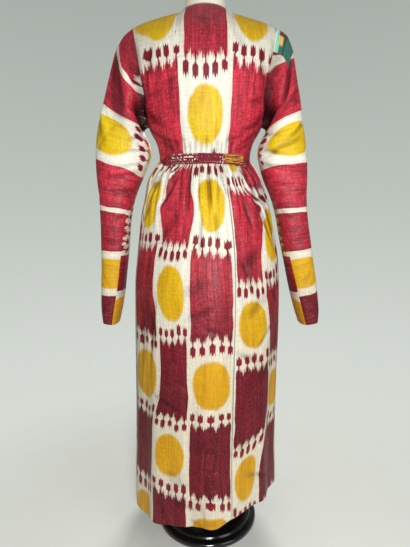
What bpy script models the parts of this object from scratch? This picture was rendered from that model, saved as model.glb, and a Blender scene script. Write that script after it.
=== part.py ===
# A fitted ikat robe, open down the front, on a limbless dress form with a round base.
# Metres, +Z up. The wearer faces -Y, so +X is the wearer's left and +Y the back.

import bmesh
import bpy
from math import acos, cos, pi, radians, sin, sqrt
from mathutils import Vector

# Cloth
CLOTH = 0.0016
SEAM_GAP = 0.0003
TRIM_GAP = 0.0004

# Levels above the floor
NAPE_HEIGHT = 1.410
SHOULDER_HEIGHT = 1.380
UNDERARM_HEIGHT = 1.130
FRONT_NECK_HEIGHT = 1.300
WAIST_SEAM_HEIGHT = 1.0355
HEM_HEIGHT = 0.106

# Bodice
SHOULDER_HALF_WIDTH = 0.190
NECK_HALF_WIDTH = 0.062
NECK_BACK_DEPTH = 0.056
NECK_FRONT_DEPTH = 0.098
NECK_ROUNDNESS = 3.6
SHOULDER_SLOPE = 0.24
SHOULDER_DROOP = 1.6
SHOULDER_DROOP_START = 0.14
SHOULDER_ROLL = 0.090
NAPE_STAND = radians(40)
ARMHOLE_TURN = radians(26)
ARMHOLE_TURN_HEIGHT = 0.070
FRONT_OPENING = 0.006
ARMHOLE_ROWS = 11
SIDE_ROWS = 3
NECK_COLUMNS = 4
SHOULDER_COLUMNS = 5

# Shirred strip at the back of the waist
STRIP_HALF_ANGLE = radians(68)
STRIP_FADE_START = radians(50)
STRIP_FADE_END = radians(74)
STRIP_RISE = 0.0112
STRIP_DROP = 0.0175
STRIP_BASE = 0.0018
STRIP_RIDGE = 0.0013
STRIP_RIDGES = 27
STRIP_POINTS_PER_RIDGE = 3
STRIP_ROWS = 4
STRIP_STITCH_ROWS = 2
STRIP_TOP_GAP = 0.0013

# Skirt
SKIRT_ROWS = (0.0, 0.035, 0.085, 0.145, 0.235, 0.365, 0.525, 0.69, 0.85, 1.0)
POINTS_PER_GATHER = 4
GATHER_DEPTH = 0.0055
GATHER_FADE = 0.16
FOLD_DEPTH = 0.0060
# Each row is one run of long folds. Columns: folds round the body, phase, drift, share.
FOLD_RUNS = (
    (9, 0.7, 0.0, 0.55),
    (14, 1.3, 2.1, 0.45),
)
HEM_TILT = 0.026
HEM_LIFT = 0.032
WAIST_RADIUS = 0.1

# Lean of the form to its left, from the hip up
LEAN = 0.007
LEAN_START = 0.85
LEAN_END = 1.02

# Each row is one level section of the bodice. Columns: height, half_width, back, front.
TORSO = (
    (1.000, 0.1212, 0.0904, 0.0844),
    (1.036, 0.1207, 0.0884, 0.0834),
    (1.060, 0.1222, 0.0894, 0.0864),
    (1.090, 0.1302, 0.0954, 0.0984),
    (1.115, 0.1442, 0.1004, 0.1084),
    (1.130, 0.1512, 0.1024, 0.1124),
    (1.160, 0.1622, 0.1064, 0.1184),
    (1.200, 0.1722, 0.1094, 0.1194),
    (1.270, 0.1862, 0.1084, 0.1064),
    (1.330, 0.1962, 0.0984, 0.0864),
    (1.420, 0.2062, 0.0784, 0.0634),
)

# Each row is one level section of the skirt. Columns: height, half_width, back, front, centre_x.
SKIRT = (
    (0.030, 0.2032, 0.1944, 0.1914, 0.006),
    (0.106, 0.2022, 0.1934, 0.1894, 0.006),
    (0.300, 0.1972, 0.1904, 0.1854, 0.006),
    (0.450, 0.1972, 0.1884, 0.1804, 0.004),
    (0.600, 0.1987, 0.1864, 0.1754, 0.002),
    (0.710, 0.1982, 0.1814, 0.1664, 0.001),
    (0.770, 0.1937, 0.1734, 0.1584, 0.000),
    (0.826, 0.1862, 0.1644, 0.1504, 0.001),
    (0.895, 0.1747, 0.1484, 0.1364, 0.004),
    (0.950, 0.1602, 0.1324, 0.1204, 0.006),
    (0.990, 0.1462, 0.1154, 0.1064, 0.007),
    (1.018, 0.1302, 0.0974, 0.0914, 0.007),
    (1.036, 0.1207, 0.0884, 0.0834, 0.007),
)

# Each row is one skirt width. Columns: name, start and end in degrees round the body from the
# centre back toward the wearer's left, gathers.
SKIRT_PANELS = (
    ("skirt_back_left", -20.0, 73.0, 11),
    ("skirt_front_left", 73.0, 178.6, 9),
    ("skirt_front_right", -178.6, -110.0, 6),
    ("skirt_back_right", -110.0, -20.0, 10),
)

# Each row is one ring of a sleeve, from the armhole down to the cuff. Columns: outer_x, outer_z,
# inner_x, inner_z, depth, centre_y. "outer" and "inner" are the ring's far and near edges from
# the body, "depth" is half its size front to back.
LEFT_SLEEVE = (
    (0.2190, 1.352, 0.1680, 1.1250, 0.055, 0.002),
    (0.2390, 1.315, 0.1720, 1.1180, 0.060, 0.004),
    (0.2530, 1.262, 0.1700, 1.1090, 0.064, 0.007),
    (0.2700, 1.195, 0.1630, 1.0960, 0.067, 0.010),
    (0.2850, 1.135, 0.1560, 1.0780, 0.066, 0.014),
    (0.2925, 1.082, 0.1530, 1.0560, 0.063, 0.018),
    (0.2935, 1.032, 0.1600, 1.0300, 0.059, 0.020),
    (0.2915, 0.986, 0.1770, 0.9920, 0.056, 0.020),
    (0.2870, 0.936, 0.1970, 0.9430, 0.053, 0.020),
    (0.2860, 0.880, 0.2100, 0.8860, 0.051, 0.020),
    (0.2860, 0.800, 0.2180, 0.8060, 0.050, 0.020),
    (0.2880, 0.712, 0.2280, 0.7150, 0.049, 0.020),
    (0.2895, 0.644, 0.2400, 0.6420, 0.048, 0.020),
    (0.2860, 0.604, 0.2500, 0.5980, 0.047, 0.020),
)
RIGHT_SLEEVE = (
    (0.2070, 1.352, 0.1560, 1.1250, 0.055, 0.004),
    (0.2190, 1.315, 0.1580, 1.1170, 0.060, 0.010),
    (0.2280, 1.262, 0.1540, 1.1080, 0.064, 0.018),
    (0.2370, 1.195, 0.1450, 1.0940, 0.066, 0.028),
    (0.2430, 1.138, 0.1370, 1.0760, 0.065, 0.038),
    (0.2490, 1.085, 0.1320, 1.0560, 0.062, 0.046),
    (0.2540, 1.034, 0.1340, 1.0320, 0.058, 0.052),
    (0.2550, 0.988, 0.1460, 0.9900, 0.054, 0.054),
    (0.2540, 0.938, 0.1670, 0.9430, 0.052, 0.054),
    (0.2600, 0.880, 0.1830, 0.8860, 0.050, 0.053),
    (0.2730, 0.802, 0.1990, 0.8080, 0.049, 0.051),
    (0.2870, 0.722, 0.2180, 0.7260, 0.048, 0.049),
    (0.2970, 0.650, 0.2370, 0.6500, 0.047, 0.047),
    (0.2960, 0.612, 0.2520, 0.6040, 0.046, 0.046),
)
SLEEVE_SQUARENESS = 2.7
SLEEVE_HALF_DEPTH = 0.06
# Each row is one crease inside the elbow. Columns: ring, angle, spread, depth.
ELBOW_CREASES = (
    (4.6, 2.55, 0.55, 0.0050),
    (5.7, 2.35, 0.50, 0.0045),
    (6.7, 2.70, 0.55, 0.0040),
)
ELBOW_CREASE_RINGS = 0.55

# Neckline binding and sleeve head patch
BINDING_RADIUS = 0.0018
BINDING_SIDES = 6
BINDING_GAP = 0.0009
BINDING_STEPS = 7
BINDING_FRONT_SHARE = 0.97
BINDING_BACK_SHARE = 0.985
PATCH_CLOTH = 0.0012
PATCH_RINGS = 2
PATCH_COLUMNS = 4

# Dress form and stand. Columns: height, half_width, back, front, centre_y.
FORM = (
    (0.800, 0.1480, 0.120, 0.110, 0.000),
    (0.812, 0.1560, 0.128, 0.117, 0.000),
    (0.860, 0.1580, 0.130, 0.118, 0.000),
    (0.920, 0.1480, 0.120, 0.108, 0.000),
    (0.980, 0.1270, 0.100, 0.092, 0.000),
    (1.036, 0.1130, 0.081, 0.077, 0.000),
    (1.090, 0.1210, 0.087, 0.090, 0.000),
    (1.130, 0.1400, 0.094, 0.104, 0.000),
    (1.200, 0.1540, 0.101, 0.111, 0.000),
    (1.270, 0.1560, 0.099, 0.096, 0.000),
    (1.320, 0.1600, 0.084, 0.074, 0.000),
    (1.348, 0.1610, 0.064, 0.054, 0.000),
    (1.364, 0.1500, 0.046, 0.038, 0.000),
    (1.376, 0.1200, 0.042, 0.034, 0.000),
    (1.386, 0.0860, 0.042, 0.034, 0.000),
    (1.398, 0.0600, 0.044, 0.037, 0.000),
    (1.416, 0.0530, 0.047, 0.042, 0.001),
    (1.445, 0.0510, 0.049, 0.047, 0.000),
    (1.468, 0.0505, 0.049, 0.047, 0.000),
    (1.474, 0.0470, 0.046, 0.044, 0.000),
)
FORM_SIDES = 28
POLE_RADIUS = 0.0125
POLE_SIDES = 16
BASE_SIDES = 44
# Each row is one corner of the base's turned outline, from the underside up to the collar.
# Columns: radius, height.
BASE_OUTLINE = (
    (0.1410, 0.0000),
    (0.1442, 0.0025),
    (0.1447, 0.0080),
    (0.1430, 0.0130),
    (0.1380, 0.0160),
    (0.1280, 0.0175),
    (0.1260, 0.0215),
    (0.1210, 0.0250),
    (0.0800, 0.0290),
    (0.0300, 0.0320),
    (0.0230, 0.0360),
    (0.0220, 0.0520),
    (0.0190, 0.0550),
)

COLOURS = {
    "ikat_cloth": ((0.290, 0.016, 0.035, 1.0), 0.55),
    "ikat_strip": ((0.210, 0.012, 0.028, 1.0), 0.60),
    "green_ikat": ((0.020, 0.090, 0.070, 1.0), 0.60),
    "binding": ((0.330, 0.060, 0.080, 1.0), 0.60),
    "form_jersey": ((0.780, 0.720, 0.600, 1.0), 0.75),
    "black_gloss": ((0.010, 0.010, 0.012, 1.0), 0.18),
}

Y_AXIS = Vector((0, 1, 0))


def smooth_step(start, end, value):
    share = min(1.0, max(0.0, (value - start) / (end - start)))
    return share * share * (3 - 2 * share)


def hermite(before, first, second, after, share):
    """The Catmull-Rom value between two numbers of a column."""
    slope_one = (second - before) / 2
    slope_two = (after - first) / 2
    square = share * share
    cube = square * share
    return (
        (2 * cube - 3 * square + 1) * first
        + (cube - 2 * square + share) * slope_one
        + (3 * square - 2 * cube) * second
        + (cube - square) * slope_two
    )


def row_at(table, position):
    """The values of a table at a row number that need not be whole."""
    last = len(table) - 1
    position = min(max(position, 0.0), float(last))
    low = min(int(position), last - 1)
    rows = [table[min(max(low + step, 0), last)] for step in (-1, 0, 1, 2)]
    return [hermite(*values, position - low) for values in zip(*rows)]


def section_at(table, height):
    """The row of a table of level sections, read at a height."""
    last = len(table) - 1
    height = min(max(height, table[0][0]), table[last][0])
    low = max(index for index in range(last) if table[index][0] <= height)
    span = table[low + 1][0] - table[low][0]
    share = (height - table[low][0]) / span
    rows = [table[min(max(low + step, 0), last)] for step in (-1, 0, 1, 2)]
    return [hermite(*values, share) for values in zip(*rows)][1:]


def lean_at(height):
    """How far the form's centre stands to its left at a height."""
    return LEAN * smooth_step(LEAN_START, LEAN_END, height)


# The bodice surface. "across" runs from 0 at the centre to 1 at the side seam or armhole, on
# the +X side, and to -1 on the other. "side" is 1 for the back and -1 for the front.


def edge_angle(height):
    """How far round the body a panel reaches: to the side seam, or less at the armhole."""
    above = max(0.0, height - UNDERARM_HEIGHT) / ARMHOLE_TURN_HEIGHT
    return pi / 2 - ARMHOLE_TURN * sqrt(min(1.0, above))


def body_point(across, height, side):
    half_width, back, front = section_at(TORSO, height)
    depth = back if side > 0 else front
    angle = across * edge_angle(height)
    return (half_width * sin(angle), side * depth * cos(angle))


def shoulder_line(x):
    beyond = max(0.0, abs(x) - SHOULDER_DROOP_START)
    slope = SHOULDER_SLOPE * max(0.0, abs(x) - NECK_HALF_WIDTH)
    return NAPE_HEIGHT - slope - SHOULDER_DROOP * beyond * beyond


def panel_top(across, side):
    """A panel's top edge: x, y, height, and how steeply the cloth leaves it."""
    x = across * SHOULDER_HALF_WIDTH
    share = min(1.0, abs(x) / NECK_HALF_WIDTH)
    stand = NAPE_STAND * (1 - smooth_step(0.8, 1.08, abs(x) / NECK_HALF_WIDTH))
    if side > 0:
        y = NECK_BACK_DEPTH * sqrt(1 - share * share)
        height = shoulder_line(x)
    else:
        y = -NECK_FRONT_DEPTH * (1 - share**NECK_ROUNDNESS)
        height = FRONT_NECK_HEIGHT + (shoulder_line(x) - FRONT_NECK_HEIGHT) * share**1.25
    return x, y, height, stand


def strip_share(angle):
    """1 where the shirred strip is full height, 0 beyond its ends."""
    return 1 - smooth_step(STRIP_FADE_START, STRIP_FADE_END, abs(angle))


def bodice_foot(across, side):
    rise = STRIP_RISE * strip_share(across * pi / 2) if side > 0 else 0.0
    return WAIST_SEAM_HEIGHT + SEAM_GAP + rise


def bodice_point(across, down, side):
    """"down" runs from 0 at the top edge to 1 at underarm level and 2 at the waist seam."""
    x_top, y_top, top, stand = panel_top(across, side)
    if down > 1:
        foot = bodice_foot(across, side)
        height = UNDERARM_HEIGHT + (foot - UNDERARM_HEIGHT) * (down - 1)
        reach = 1.0
    else:
        height = top - (top - UNDERARM_HEIGHT) * down
        roll = SHOULDER_ROLL * (top - UNDERARM_HEIGHT) / (SHOULDER_HEIGHT - UNDERARM_HEIGHT)
        fall = cos(stand) - (top - height) / roll
        angle = pi / 2 if fall <= 0 else acos(min(1.0, fall))
        reach = (sin(angle) - sin(stand)) / (1 - sin(stand))
    x_body, y_body = body_point(across, height, side)
    x = x_top + (x_body - x_top) * reach
    y = y_top + (y_body - y_top) * reach
    return Vector((x + lean_at(height), y, height))


def bodice_normal(across, down, side):
    step = 0.004
    before, after = max(across - step, -1), min(across + step, 1)
    above, below = max(down - step / 4, 0), min(down + step / 4, 2)
    along = bodice_point(after, down, side) - bodice_point(before, down, side)
    downward = bodice_point(across, below, side) - bodice_point(across, above, side)
    normal = along.cross(downward) * side
    return normal.normalized()


def down_levels():
    """Rows that match the sleeve's points round the armhole, then rows to the waist."""
    armhole = [(1 - cos(pi * row / ARMHOLE_ROWS)) / 2 for row in range(ARMHOLE_ROWS + 1)]
    below = [1 + row / SIDE_ROWS for row in range(1, SIDE_ROWS + 1)]
    return armhole + below


def across_levels():
    """Columns from the centre to the edge, closest together round the neck."""
    neck_share = NECK_HALF_WIDTH / SHOULDER_HALF_WIDTH
    neck = [neck_share * sin(pi / 2 * k / NECK_COLUMNS) for k in range(NECK_COLUMNS + 1)]
    step = (1 - neck_share) / SHOULDER_COLUMNS
    return neck + [neck_share + step * k for k in range(1, SHOULDER_COLUMNS + 1)]


def trimmed(levels, first, last):
    """Levels with both ends moved in for the seams."""
    return [first] + list(levels[1:-1]) + [last]


# Building solids


def new_material(name):
    colour, roughness = COLOURS[name]
    material = bpy.data.materials.new(name)
    material.use_nodes = True
    shader = material.node_tree.nodes["Principled BSDF"]
    shader.inputs["Base Color"].default_value = colour
    shader.inputs["Roughness"].default_value = roughness
    material.diffuse_color = colour
    return material


def add_object(name, mesh_maker, material_name, sharp_degrees=40):
    """One named object from a function that fills a bmesh."""
    mesh = bpy.data.meshes.new(name)
    shape = bmesh.new()
    mesh_maker(shape)
    if shape.calc_volume(signed=True) < 0:
        bmesh.ops.reverse_faces(shape, faces=shape.faces)
    shape.to_mesh(mesh)
    shape.free()
    mesh.shade_smooth()
    mesh.set_sharp_from_angle(angle=radians(sharp_degrees))
    if material_name not in bpy.data.materials:
        new_material(material_name)
    mesh.materials.append(bpy.data.materials[material_name])
    thing = bpy.data.objects.new(name, mesh)
    bpy.context.collection.objects.link(thing)
    return thing


def fill_wall(shape, inside, outside, closed):
    """A closed wall between two grids of points; "closed" joins each row's ends."""
    grids = [[[shape.verts.new(p) for p in row] for row in grid] for grid in (inside, outside)]
    rows = len(inside)
    columns = len(inside[0])
    spans = [(k, (k + 1) % columns) for k in range(columns if closed else columns - 1)]
    inner, outer = grids
    for i in range(rows - 1):
        for left, right in spans:
            shape.faces.new((outer[i][left], outer[i + 1][left], outer[i + 1][right], outer[i][right]))
            shape.faces.new((inner[i][left], inner[i][right], inner[i + 1][right], inner[i + 1][left]))
    last = rows - 1
    for left, right in spans:
        shape.faces.new((outer[0][left], outer[0][right], inner[0][right], inner[0][left]))
        shape.faces.new((outer[last][right], outer[last][left], inner[last][left], inner[last][right]))
    if closed:
        return
    end = columns - 1
    for i in range(last):
        shape.faces.new((outer[i + 1][0], outer[i][0], inner[i][0], inner[i + 1][0]))
        shape.faces.new((outer[i][end], outer[i + 1][end], inner[i + 1][end], inner[i][end]))


def add_wall(name, inside, outside, closed, material_name):
    return add_object(name, lambda shape: fill_wall(shape, inside, outside, closed), material_name)


def fill_rings(shape, rings):
    """A solid through closed rings, with its two ends filled."""
    loops = [[shape.verts.new(p) for p in ring] for ring in rings]
    sides = len(loops[0])
    for lower, upper in zip(loops, loops[1:]):
        for k in range(sides):
            other = (k + 1) % sides
            shape.faces.new((lower[k], lower[other], upper[other], upper[k]))
    shape.faces.new(reversed(loops[0]))
    shape.faces.new(loops[-1])


def offset_grid(grid, normals, amount):
    return [[p + n * amount for p, n in zip(row, ns)] for row, ns in zip(grid, normals)]


def grid_normals(grid, closed):
    """Unit normals of a grid of points, from each point's neighbours, out where columns run clockwise."""
    rows, columns = len(grid), len(grid[0])
    normals = []
    for i in range(rows):
        line = []
        for k in range(columns):
            ahead = (k + 1) % columns if closed else min(k + 1, columns - 1)
            behind = (k - 1) % columns if closed else max(k - 1, 0)
            along = grid[i][ahead] - grid[i][behind]
            down = grid[min(i + 1, rows - 1)][k] - grid[max(i - 1, 0)][k]
            line.append(along.cross(down).normalized())
        normals.append(line)
    return normals


def levelled(normals):
    """Normals turned level, so that an edge at the waist seam stays at its height."""
    return [Vector((n.x, n.y, 0)).normalized() for n in normals]


# Bodice panels


def make_bodice_panel(name, across, side):
    downs = down_levels()
    inside = [[bodice_point(a, down, side) for a in across] for down in downs]
    normals = [[bodice_normal(a, down, side) for a in across] for down in downs]
    inside[0] = [point + Y_AXIS * side * SEAM_GAP for point in inside[0]]
    normals[-1] = levelled(normals[-1])
    outside = offset_grid(inside, normals, CLOTH)
    return add_wall(name, inside, outside, False, "ikat_cloth")


def make_bodice():
    half = across_levels()
    inset = SEAM_GAP / 2 / SHOULDER_HALF_WIDTH
    half_back = trimmed(half, 0.0, 1 - inset)
    back = [-a for a in reversed(half_back[1:])] + half_back
    make_bodice_panel("bodice_back", back, 1)
    opening = FRONT_OPENING / 2 / SHOULDER_HALF_WIDTH
    front = trimmed(half, opening, 1 - inset)
    make_bodice_panel("bodice_front_left", front, -1)
    make_bodice_panel("bodice_front_right", [-a for a in reversed(front)], -1)


# Sleeves


def armhole_ring(hand):
    """The sleeve's first ring, on the armhole seam, and the panels' normals there."""
    points, normals = [], []
    count = 2 * ARMHOLE_ROWS
    for k in range(count):
        side = 1 if k <= ARMHOLE_ROWS else -1
        step = k if k <= ARMHOLE_ROWS else count - k
        down = (1 - cos(pi * step / ARMHOLE_ROWS)) / 2
        points.append(bodice_point(hand, down, side))
        normals.append(bodice_normal(hand, down, side))
    outward = []
    for k in range(count):
        along = points[(k + 1) % count] - points[k - 1]
        away = along.cross(normals[k]).normalized()
        outward.append(away if away.dot(Vector((hand, 0, 1))) > 0 else -away)
    return [p + o * 3 * SEAM_GAP for p, o in zip(points, outward)], normals


def super_cos(angle, squareness):
    value = cos(angle)
    return (1 if value >= 0 else -1) * abs(value) ** (2 / squareness)


def sleeve_ring(table, position, hand):
    outer_x, outer_z, inner_x, inner_z, depth, centre_y = row_at(table, position)
    outer = Vector((hand * outer_x, centre_y, outer_z))
    inner = Vector((hand * inner_x, centre_y, inner_z))
    centre, reach = (outer + inner) / 2, (outer - inner) / 2
    squareness = 2 + (SLEEVE_SQUARENESS - 2) * smooth_step(2, 8, position)
    ring = []
    count = 2 * ARMHOLE_ROWS
    for k in range(count):
        angle = 2 * pi * k / count
        pinch = 1 - elbow_pinch(position, angle) / SLEEVE_HALF_DEPTH
        point = centre + reach * super_cos(angle, squareness) * pinch
        ring.append(point + Y_AXIS * depth * super_cos(angle - pi / 2, squareness) * pinch)
    return ring


def elbow_pinch(position, angle):
    """How far a crease of the elbow draws the cloth in."""
    total = 0.0
    for ring, centre, spread, depth in ELBOW_CREASES:
        along = (position - ring) / ELBOW_CREASE_RINGS
        around = (angle - centre) / spread
        total += depth * max(0.0, 1 - along * along) * max(0.0, 1 - around * around)
    return total


def sleeve_grid(table, hand):
    first, first_normals = armhole_ring(hand)
    grid = [first] + [sleeve_ring(table, row, hand) for row in range(len(table))]
    normals = [[n * -hand for n in line] for line in grid_normals(grid, True)]
    normals[0] = first_normals
    return grid, normals


def make_sleeve(name, table, hand):
    grid, normals = sleeve_grid(table, hand)
    outside = offset_grid(grid, normals, CLOTH)
    return add_wall(name, grid, outside, True, "ikat_cloth")


def make_patch(hand):
    """The pieced patch on the head of the right sleeve, lying on the sleeve's own points."""
    grid, normals = sleeve_grid(RIGHT_SLEEVE, hand)
    under = [line[: PATCH_COLUMNS + 1] for line in grid[: PATCH_RINGS + 1]]
    facing = [line[: PATCH_COLUMNS + 1] for line in normals[: PATCH_RINGS + 1]]
    inside = offset_grid(under, facing, CLOTH + TRIM_GAP)
    outside = offset_grid(under, facing, CLOTH + TRIM_GAP + PATCH_CLOTH)
    return add_wall("sleeve_patch_right", inside, outside, False, "green_ikat")


# Waist strip


def strip_ridge(column, row, rows):
    """Height of the shirring above the strip's cloth: ridges, drawn in at the stitching."""
    phase = column / STRIP_POINTS_PER_RIDGE
    ridge = (1 + cos(2 * pi * phase)) / 2
    stitched = cos(pi * STRIP_STITCH_ROWS * row / rows) ** 2
    return STRIP_RIDGE * ridge * (1 - 0.75 * stitched)


def make_waist_strip():
    columns = STRIP_RIDGES * STRIP_POINTS_PER_RIDGE
    inside = []
    for row in range(STRIP_ROWS + 1):
        line = []
        for column in range(columns + 1):
            angle = STRIP_HALF_ANGLE * (2 * column / columns - 1)
            share = strip_share(angle)
            top = WAIST_SEAM_HEIGHT + STRIP_RISE * share - STRIP_TOP_GAP
            foot = WAIST_SEAM_HEIGHT - STRIP_DROP * share + SEAM_GAP
            height = top + (foot - top) * row / STRIP_ROWS
            half_width, back, _ = section_at(TORSO, height)
            line.append(Vector((half_width * sin(angle) + lean_at(height), back * cos(angle), height)))
        inside.append(line)
    normals = grid_normals(inside, False)
    normals[0] = levelled(normals[0])
    normals[-1] = levelled(normals[-1])
    outside = []
    for row, (line, facing) in enumerate(zip(inside, normals)):
        heights = [STRIP_BASE + strip_ridge(k, row, STRIP_ROWS) for k in range(columns + 1)]
        outside.append([p + n * height for p, n, height in zip(line, facing, heights)])
    return add_wall("waist_strip", inside, outside, False, "ikat_strip")


# Skirt


def skirt_head(angle):
    return WAIST_SEAM_HEIGHT - STRIP_DROP * strip_share(angle)


def hem_height(angle):
    """The hem, lower on the wearer's left and lifted at the back right."""
    left = sin(angle)
    lifted = smooth_step(0.1, 0.65, -left)
    return HEM_HEIGHT - HEM_TILT * smooth_step(0.1, 1.0, left) + HEM_LIFT * lifted


def soft_folds(angle, down):
    """Long shallow folds, deepest at the hem."""
    wave = sum(s * cos(n * angle + phase + drift * sin(angle)) for n, phase, drift, s in FOLD_RUNS)
    return FOLD_DEPTH * wave * smooth_step(0.1, 1.0, down)


def gather_depth(phase, down):
    """Gathers, full just below the waist and gone a little way down."""
    uneven = 0.72 + 0.28 * cos(phase * 0.37 + 1.0)
    rise = 0.35 + 0.65 * smooth_step(0.0, 0.03, down)
    fade = 1 - smooth_step(0.04, GATHER_FADE, down)
    return GATHER_DEPTH * uneven * rise * fade * (1 + cos(phase)) / 2


def skirt_point(angle, down, phase):
    head = skirt_head(angle)
    height = head + (hem_height(angle) - head) * down
    half_width, back, front, centre_x = section_at(SKIRT, height)
    depth = back if cos(angle) > 0 else front
    grow = soft_folds(angle, down) + gather_depth(phase, down)
    x = (half_width + grow) * sin(angle) + centre_x
    return Vector((x, (depth + grow) * cos(angle), height))


def make_skirt_panel(name, start, end, gathers):
    columns = gathers * POINTS_PER_GATHER
    start, end = radians(start), radians(end)
    inset = SEAM_GAP / 2 / WAIST_RADIUS
    spread = (end - start) / columns
    wide = []
    for down in SKIRT_ROWS:
        line = []
        for column in range(-1, columns + 2):
            angle = start + spread * column
            if column == 0:
                angle += inset
            if column == columns:
                angle -= inset
            phase = 2 * pi * column / POINTS_PER_GATHER + pi
            line.append(skirt_point(angle, down, phase))
        wide.append(line)
    normals = [line[1:-1] for line in grid_normals(wide, False)]
    grid = [line[1:-1] for line in wide]
    normals[0] = levelled(normals[0])
    outside = offset_grid(grid, normals, CLOTH)
    return add_wall(name, grid, outside, False, "ikat_cloth")


# Neckline binding


def binding_path():
    """Points along the neckline from the left front, over the nape, to the right front."""
    neck_share = NECK_HALF_WIDTH / SHOULDER_HALF_WIDTH
    opening = FRONT_OPENING / 2 / SHOULDER_HALF_WIDTH
    front_end = neck_share * BINDING_FRONT_SHARE
    front = [opening + (front_end - opening) * k / BINDING_STEPS for k in range(BINDING_STEPS + 1)]
    turns = [pi * k / (2 * BINDING_STEPS) for k in range(2 * BINDING_STEPS + 1)]
    back = [neck_share * BINDING_BACK_SHARE * cos(turn) for turn in turns]
    stations = [(a, -1) for a in front] + [(a, 1) for a in back] + [(-a, -1) for a in reversed(front)]
    edges = [bodice_point(across, 0, side) for across, side in stations]
    path = []
    for k, (across, side) in enumerate(stations):
        facing = bodice_normal(across, 0.004, side)
        along = edges[min(k + 1, len(edges) - 1)] - edges[max(k - 1, 0)]
        away = facing.cross(along).normalized()
        if away.dot(edges[k] - bodice_point(across, 0.02, side)) < 0:
            away = -away
        path.append(edges[k] + away * (BINDING_RADIUS + BINDING_GAP) + facing * CLOTH / 2)
    return path


def make_binding():
    path = binding_path()
    rings = []
    for k, point in enumerate(path):
        along = (path[min(k + 1, len(path) - 1)] - path[max(k - 1, 0)]).normalized()
        side = along.cross(Vector((0, 0, 1))).normalized()
        over = side.cross(along)
        turns = [2 * pi * j / BINDING_SIDES for j in range(BINDING_SIDES)]
        rings.append([point + (side * cos(t) + over * sin(t)) * BINDING_RADIUS for t in turns])
    return add_object("neck_binding", lambda shape: fill_rings(shape, rings), "binding")


# Dress form and stand


def make_form():
    rings = []
    for height, half_width, back, front, centre_y in FORM:
        ring = []
        for k in range(FORM_SIDES):
            angle = 2 * pi * k / FORM_SIDES
            depth = back if cos(angle) > 0 else front
            x = half_width * sin(angle) + lean_at(height)
            ring.append(Vector((x, depth * cos(angle) + centre_y, height)))
        rings.append(ring)
    return add_object("dress_form", lambda shape: fill_rings(shape, rings), "form_jersey")


def make_pole():
    mesh = bpy.data.meshes.new("pole")
    shape = bmesh.new()
    foot = BASE_OUTLINE[-1][1] + SEAM_GAP
    head = FORM[0][0] - SEAM_GAP
    bmesh.ops.create_cone(
        shape,
        cap_ends=True,
        segments=POLE_SIDES,
        radius1=POLE_RADIUS,
        radius2=POLE_RADIUS,
        depth=head - foot,
    )
    shape.to_mesh(mesh)
    shape.free()
    mesh.shade_smooth()
    mesh.set_sharp_from_angle(angle=radians(40))
    mesh.materials.append(bpy.data.materials["black_gloss"])
    pole = bpy.data.objects.new("pole", mesh)
    bpy.context.collection.objects.link(pole)
    pole.location = (0, 0, (foot + head) / 2)
    return pole


def make_base():
    rings = []
    for radius, height in BASE_OUTLINE:
        turns = [2 * pi * k / BASE_SIDES for k in range(BASE_SIDES)]
        rings.append([Vector((radius * cos(t), radius * sin(t), height)) for t in turns])
    return add_object("base", lambda shape: fill_rings(shape, rings), "black_gloss", 35)


def clear_scene():
    for thing in list(bpy.data.objects):
        bpy.data.objects.remove(thing)


def main():
    clear_scene()
    make_bodice()
    make_sleeve("sleeve_left", LEFT_SLEEVE, 1)
    make_sleeve("sleeve_right", RIGHT_SLEEVE, -1)
    make_patch(-1)
    make_waist_strip()
    for panel in SKIRT_PANELS:
        make_skirt_panel(*panel)
    make_binding()
    make_form()
    make_base()
    make_pole()


main()
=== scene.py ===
from math import acos, cos, floor, pi, radians, sin, sqrt

import bmesh
import bpy
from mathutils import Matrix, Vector, noise


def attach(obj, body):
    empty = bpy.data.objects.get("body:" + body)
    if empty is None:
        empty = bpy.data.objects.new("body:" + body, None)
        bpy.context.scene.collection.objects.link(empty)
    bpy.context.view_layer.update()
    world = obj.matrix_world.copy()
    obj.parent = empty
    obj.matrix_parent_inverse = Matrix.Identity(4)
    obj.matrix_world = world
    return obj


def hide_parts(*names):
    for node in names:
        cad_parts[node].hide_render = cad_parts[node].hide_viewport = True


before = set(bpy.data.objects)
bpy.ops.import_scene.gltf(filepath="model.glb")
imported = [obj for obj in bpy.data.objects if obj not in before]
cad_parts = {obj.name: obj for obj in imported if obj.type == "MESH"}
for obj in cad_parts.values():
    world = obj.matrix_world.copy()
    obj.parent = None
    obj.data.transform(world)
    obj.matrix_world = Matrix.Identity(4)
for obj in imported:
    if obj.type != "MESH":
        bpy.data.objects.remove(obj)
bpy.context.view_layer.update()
print("frame loaded")


def smoothStep(start, end, value):
    share = min(1.0, max(0.0, (value - start) / (end - start)))
    return share * share * (3 - 2 * share)


def curveThrough(before, first, second, after, share):
    # Catmull-Rom, for numbers or for vectors
    slopeOne = (second - before) / 2
    slopeTwo = (after - first) / 2
    square = share * share
    cube = square * share
    return (
        first * (2 * cube - 3 * square + 1)
        + slopeOne * (cube - 2 * square + share)
        + second * (3 * square - 2 * cube)
        + slopeTwo * (cube - square)
    )


def rowBetween(table, low, share):
    # a smooth row of figures between rows low and low + 1
    last = len(table) - 1
    rows = [table[min(max(low + step, 0), last)] for step in (-1, 0, 1, 2)]
    return [curveThrough(*values, share) for values in zip(*rows)]


def rowAt(table, position):
    # position counts rows from the first
    position = min(max(position, 0.0), float(len(table) - 1))
    low = min(int(position), len(table) - 2)
    return rowBetween(table, low, position - low)


def sectionAt(table, height):
    # the first column holds heights, in rising order
    height = min(max(height, table[0][0]), table[-1][0])
    low = max(index for index in range(len(table) - 1) if table[index][0] <= height)
    share = (height - table[low][0]) / (table[low + 1][0] - table[low][0])
    return rowBetween(table, low, share)[1:]


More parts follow.
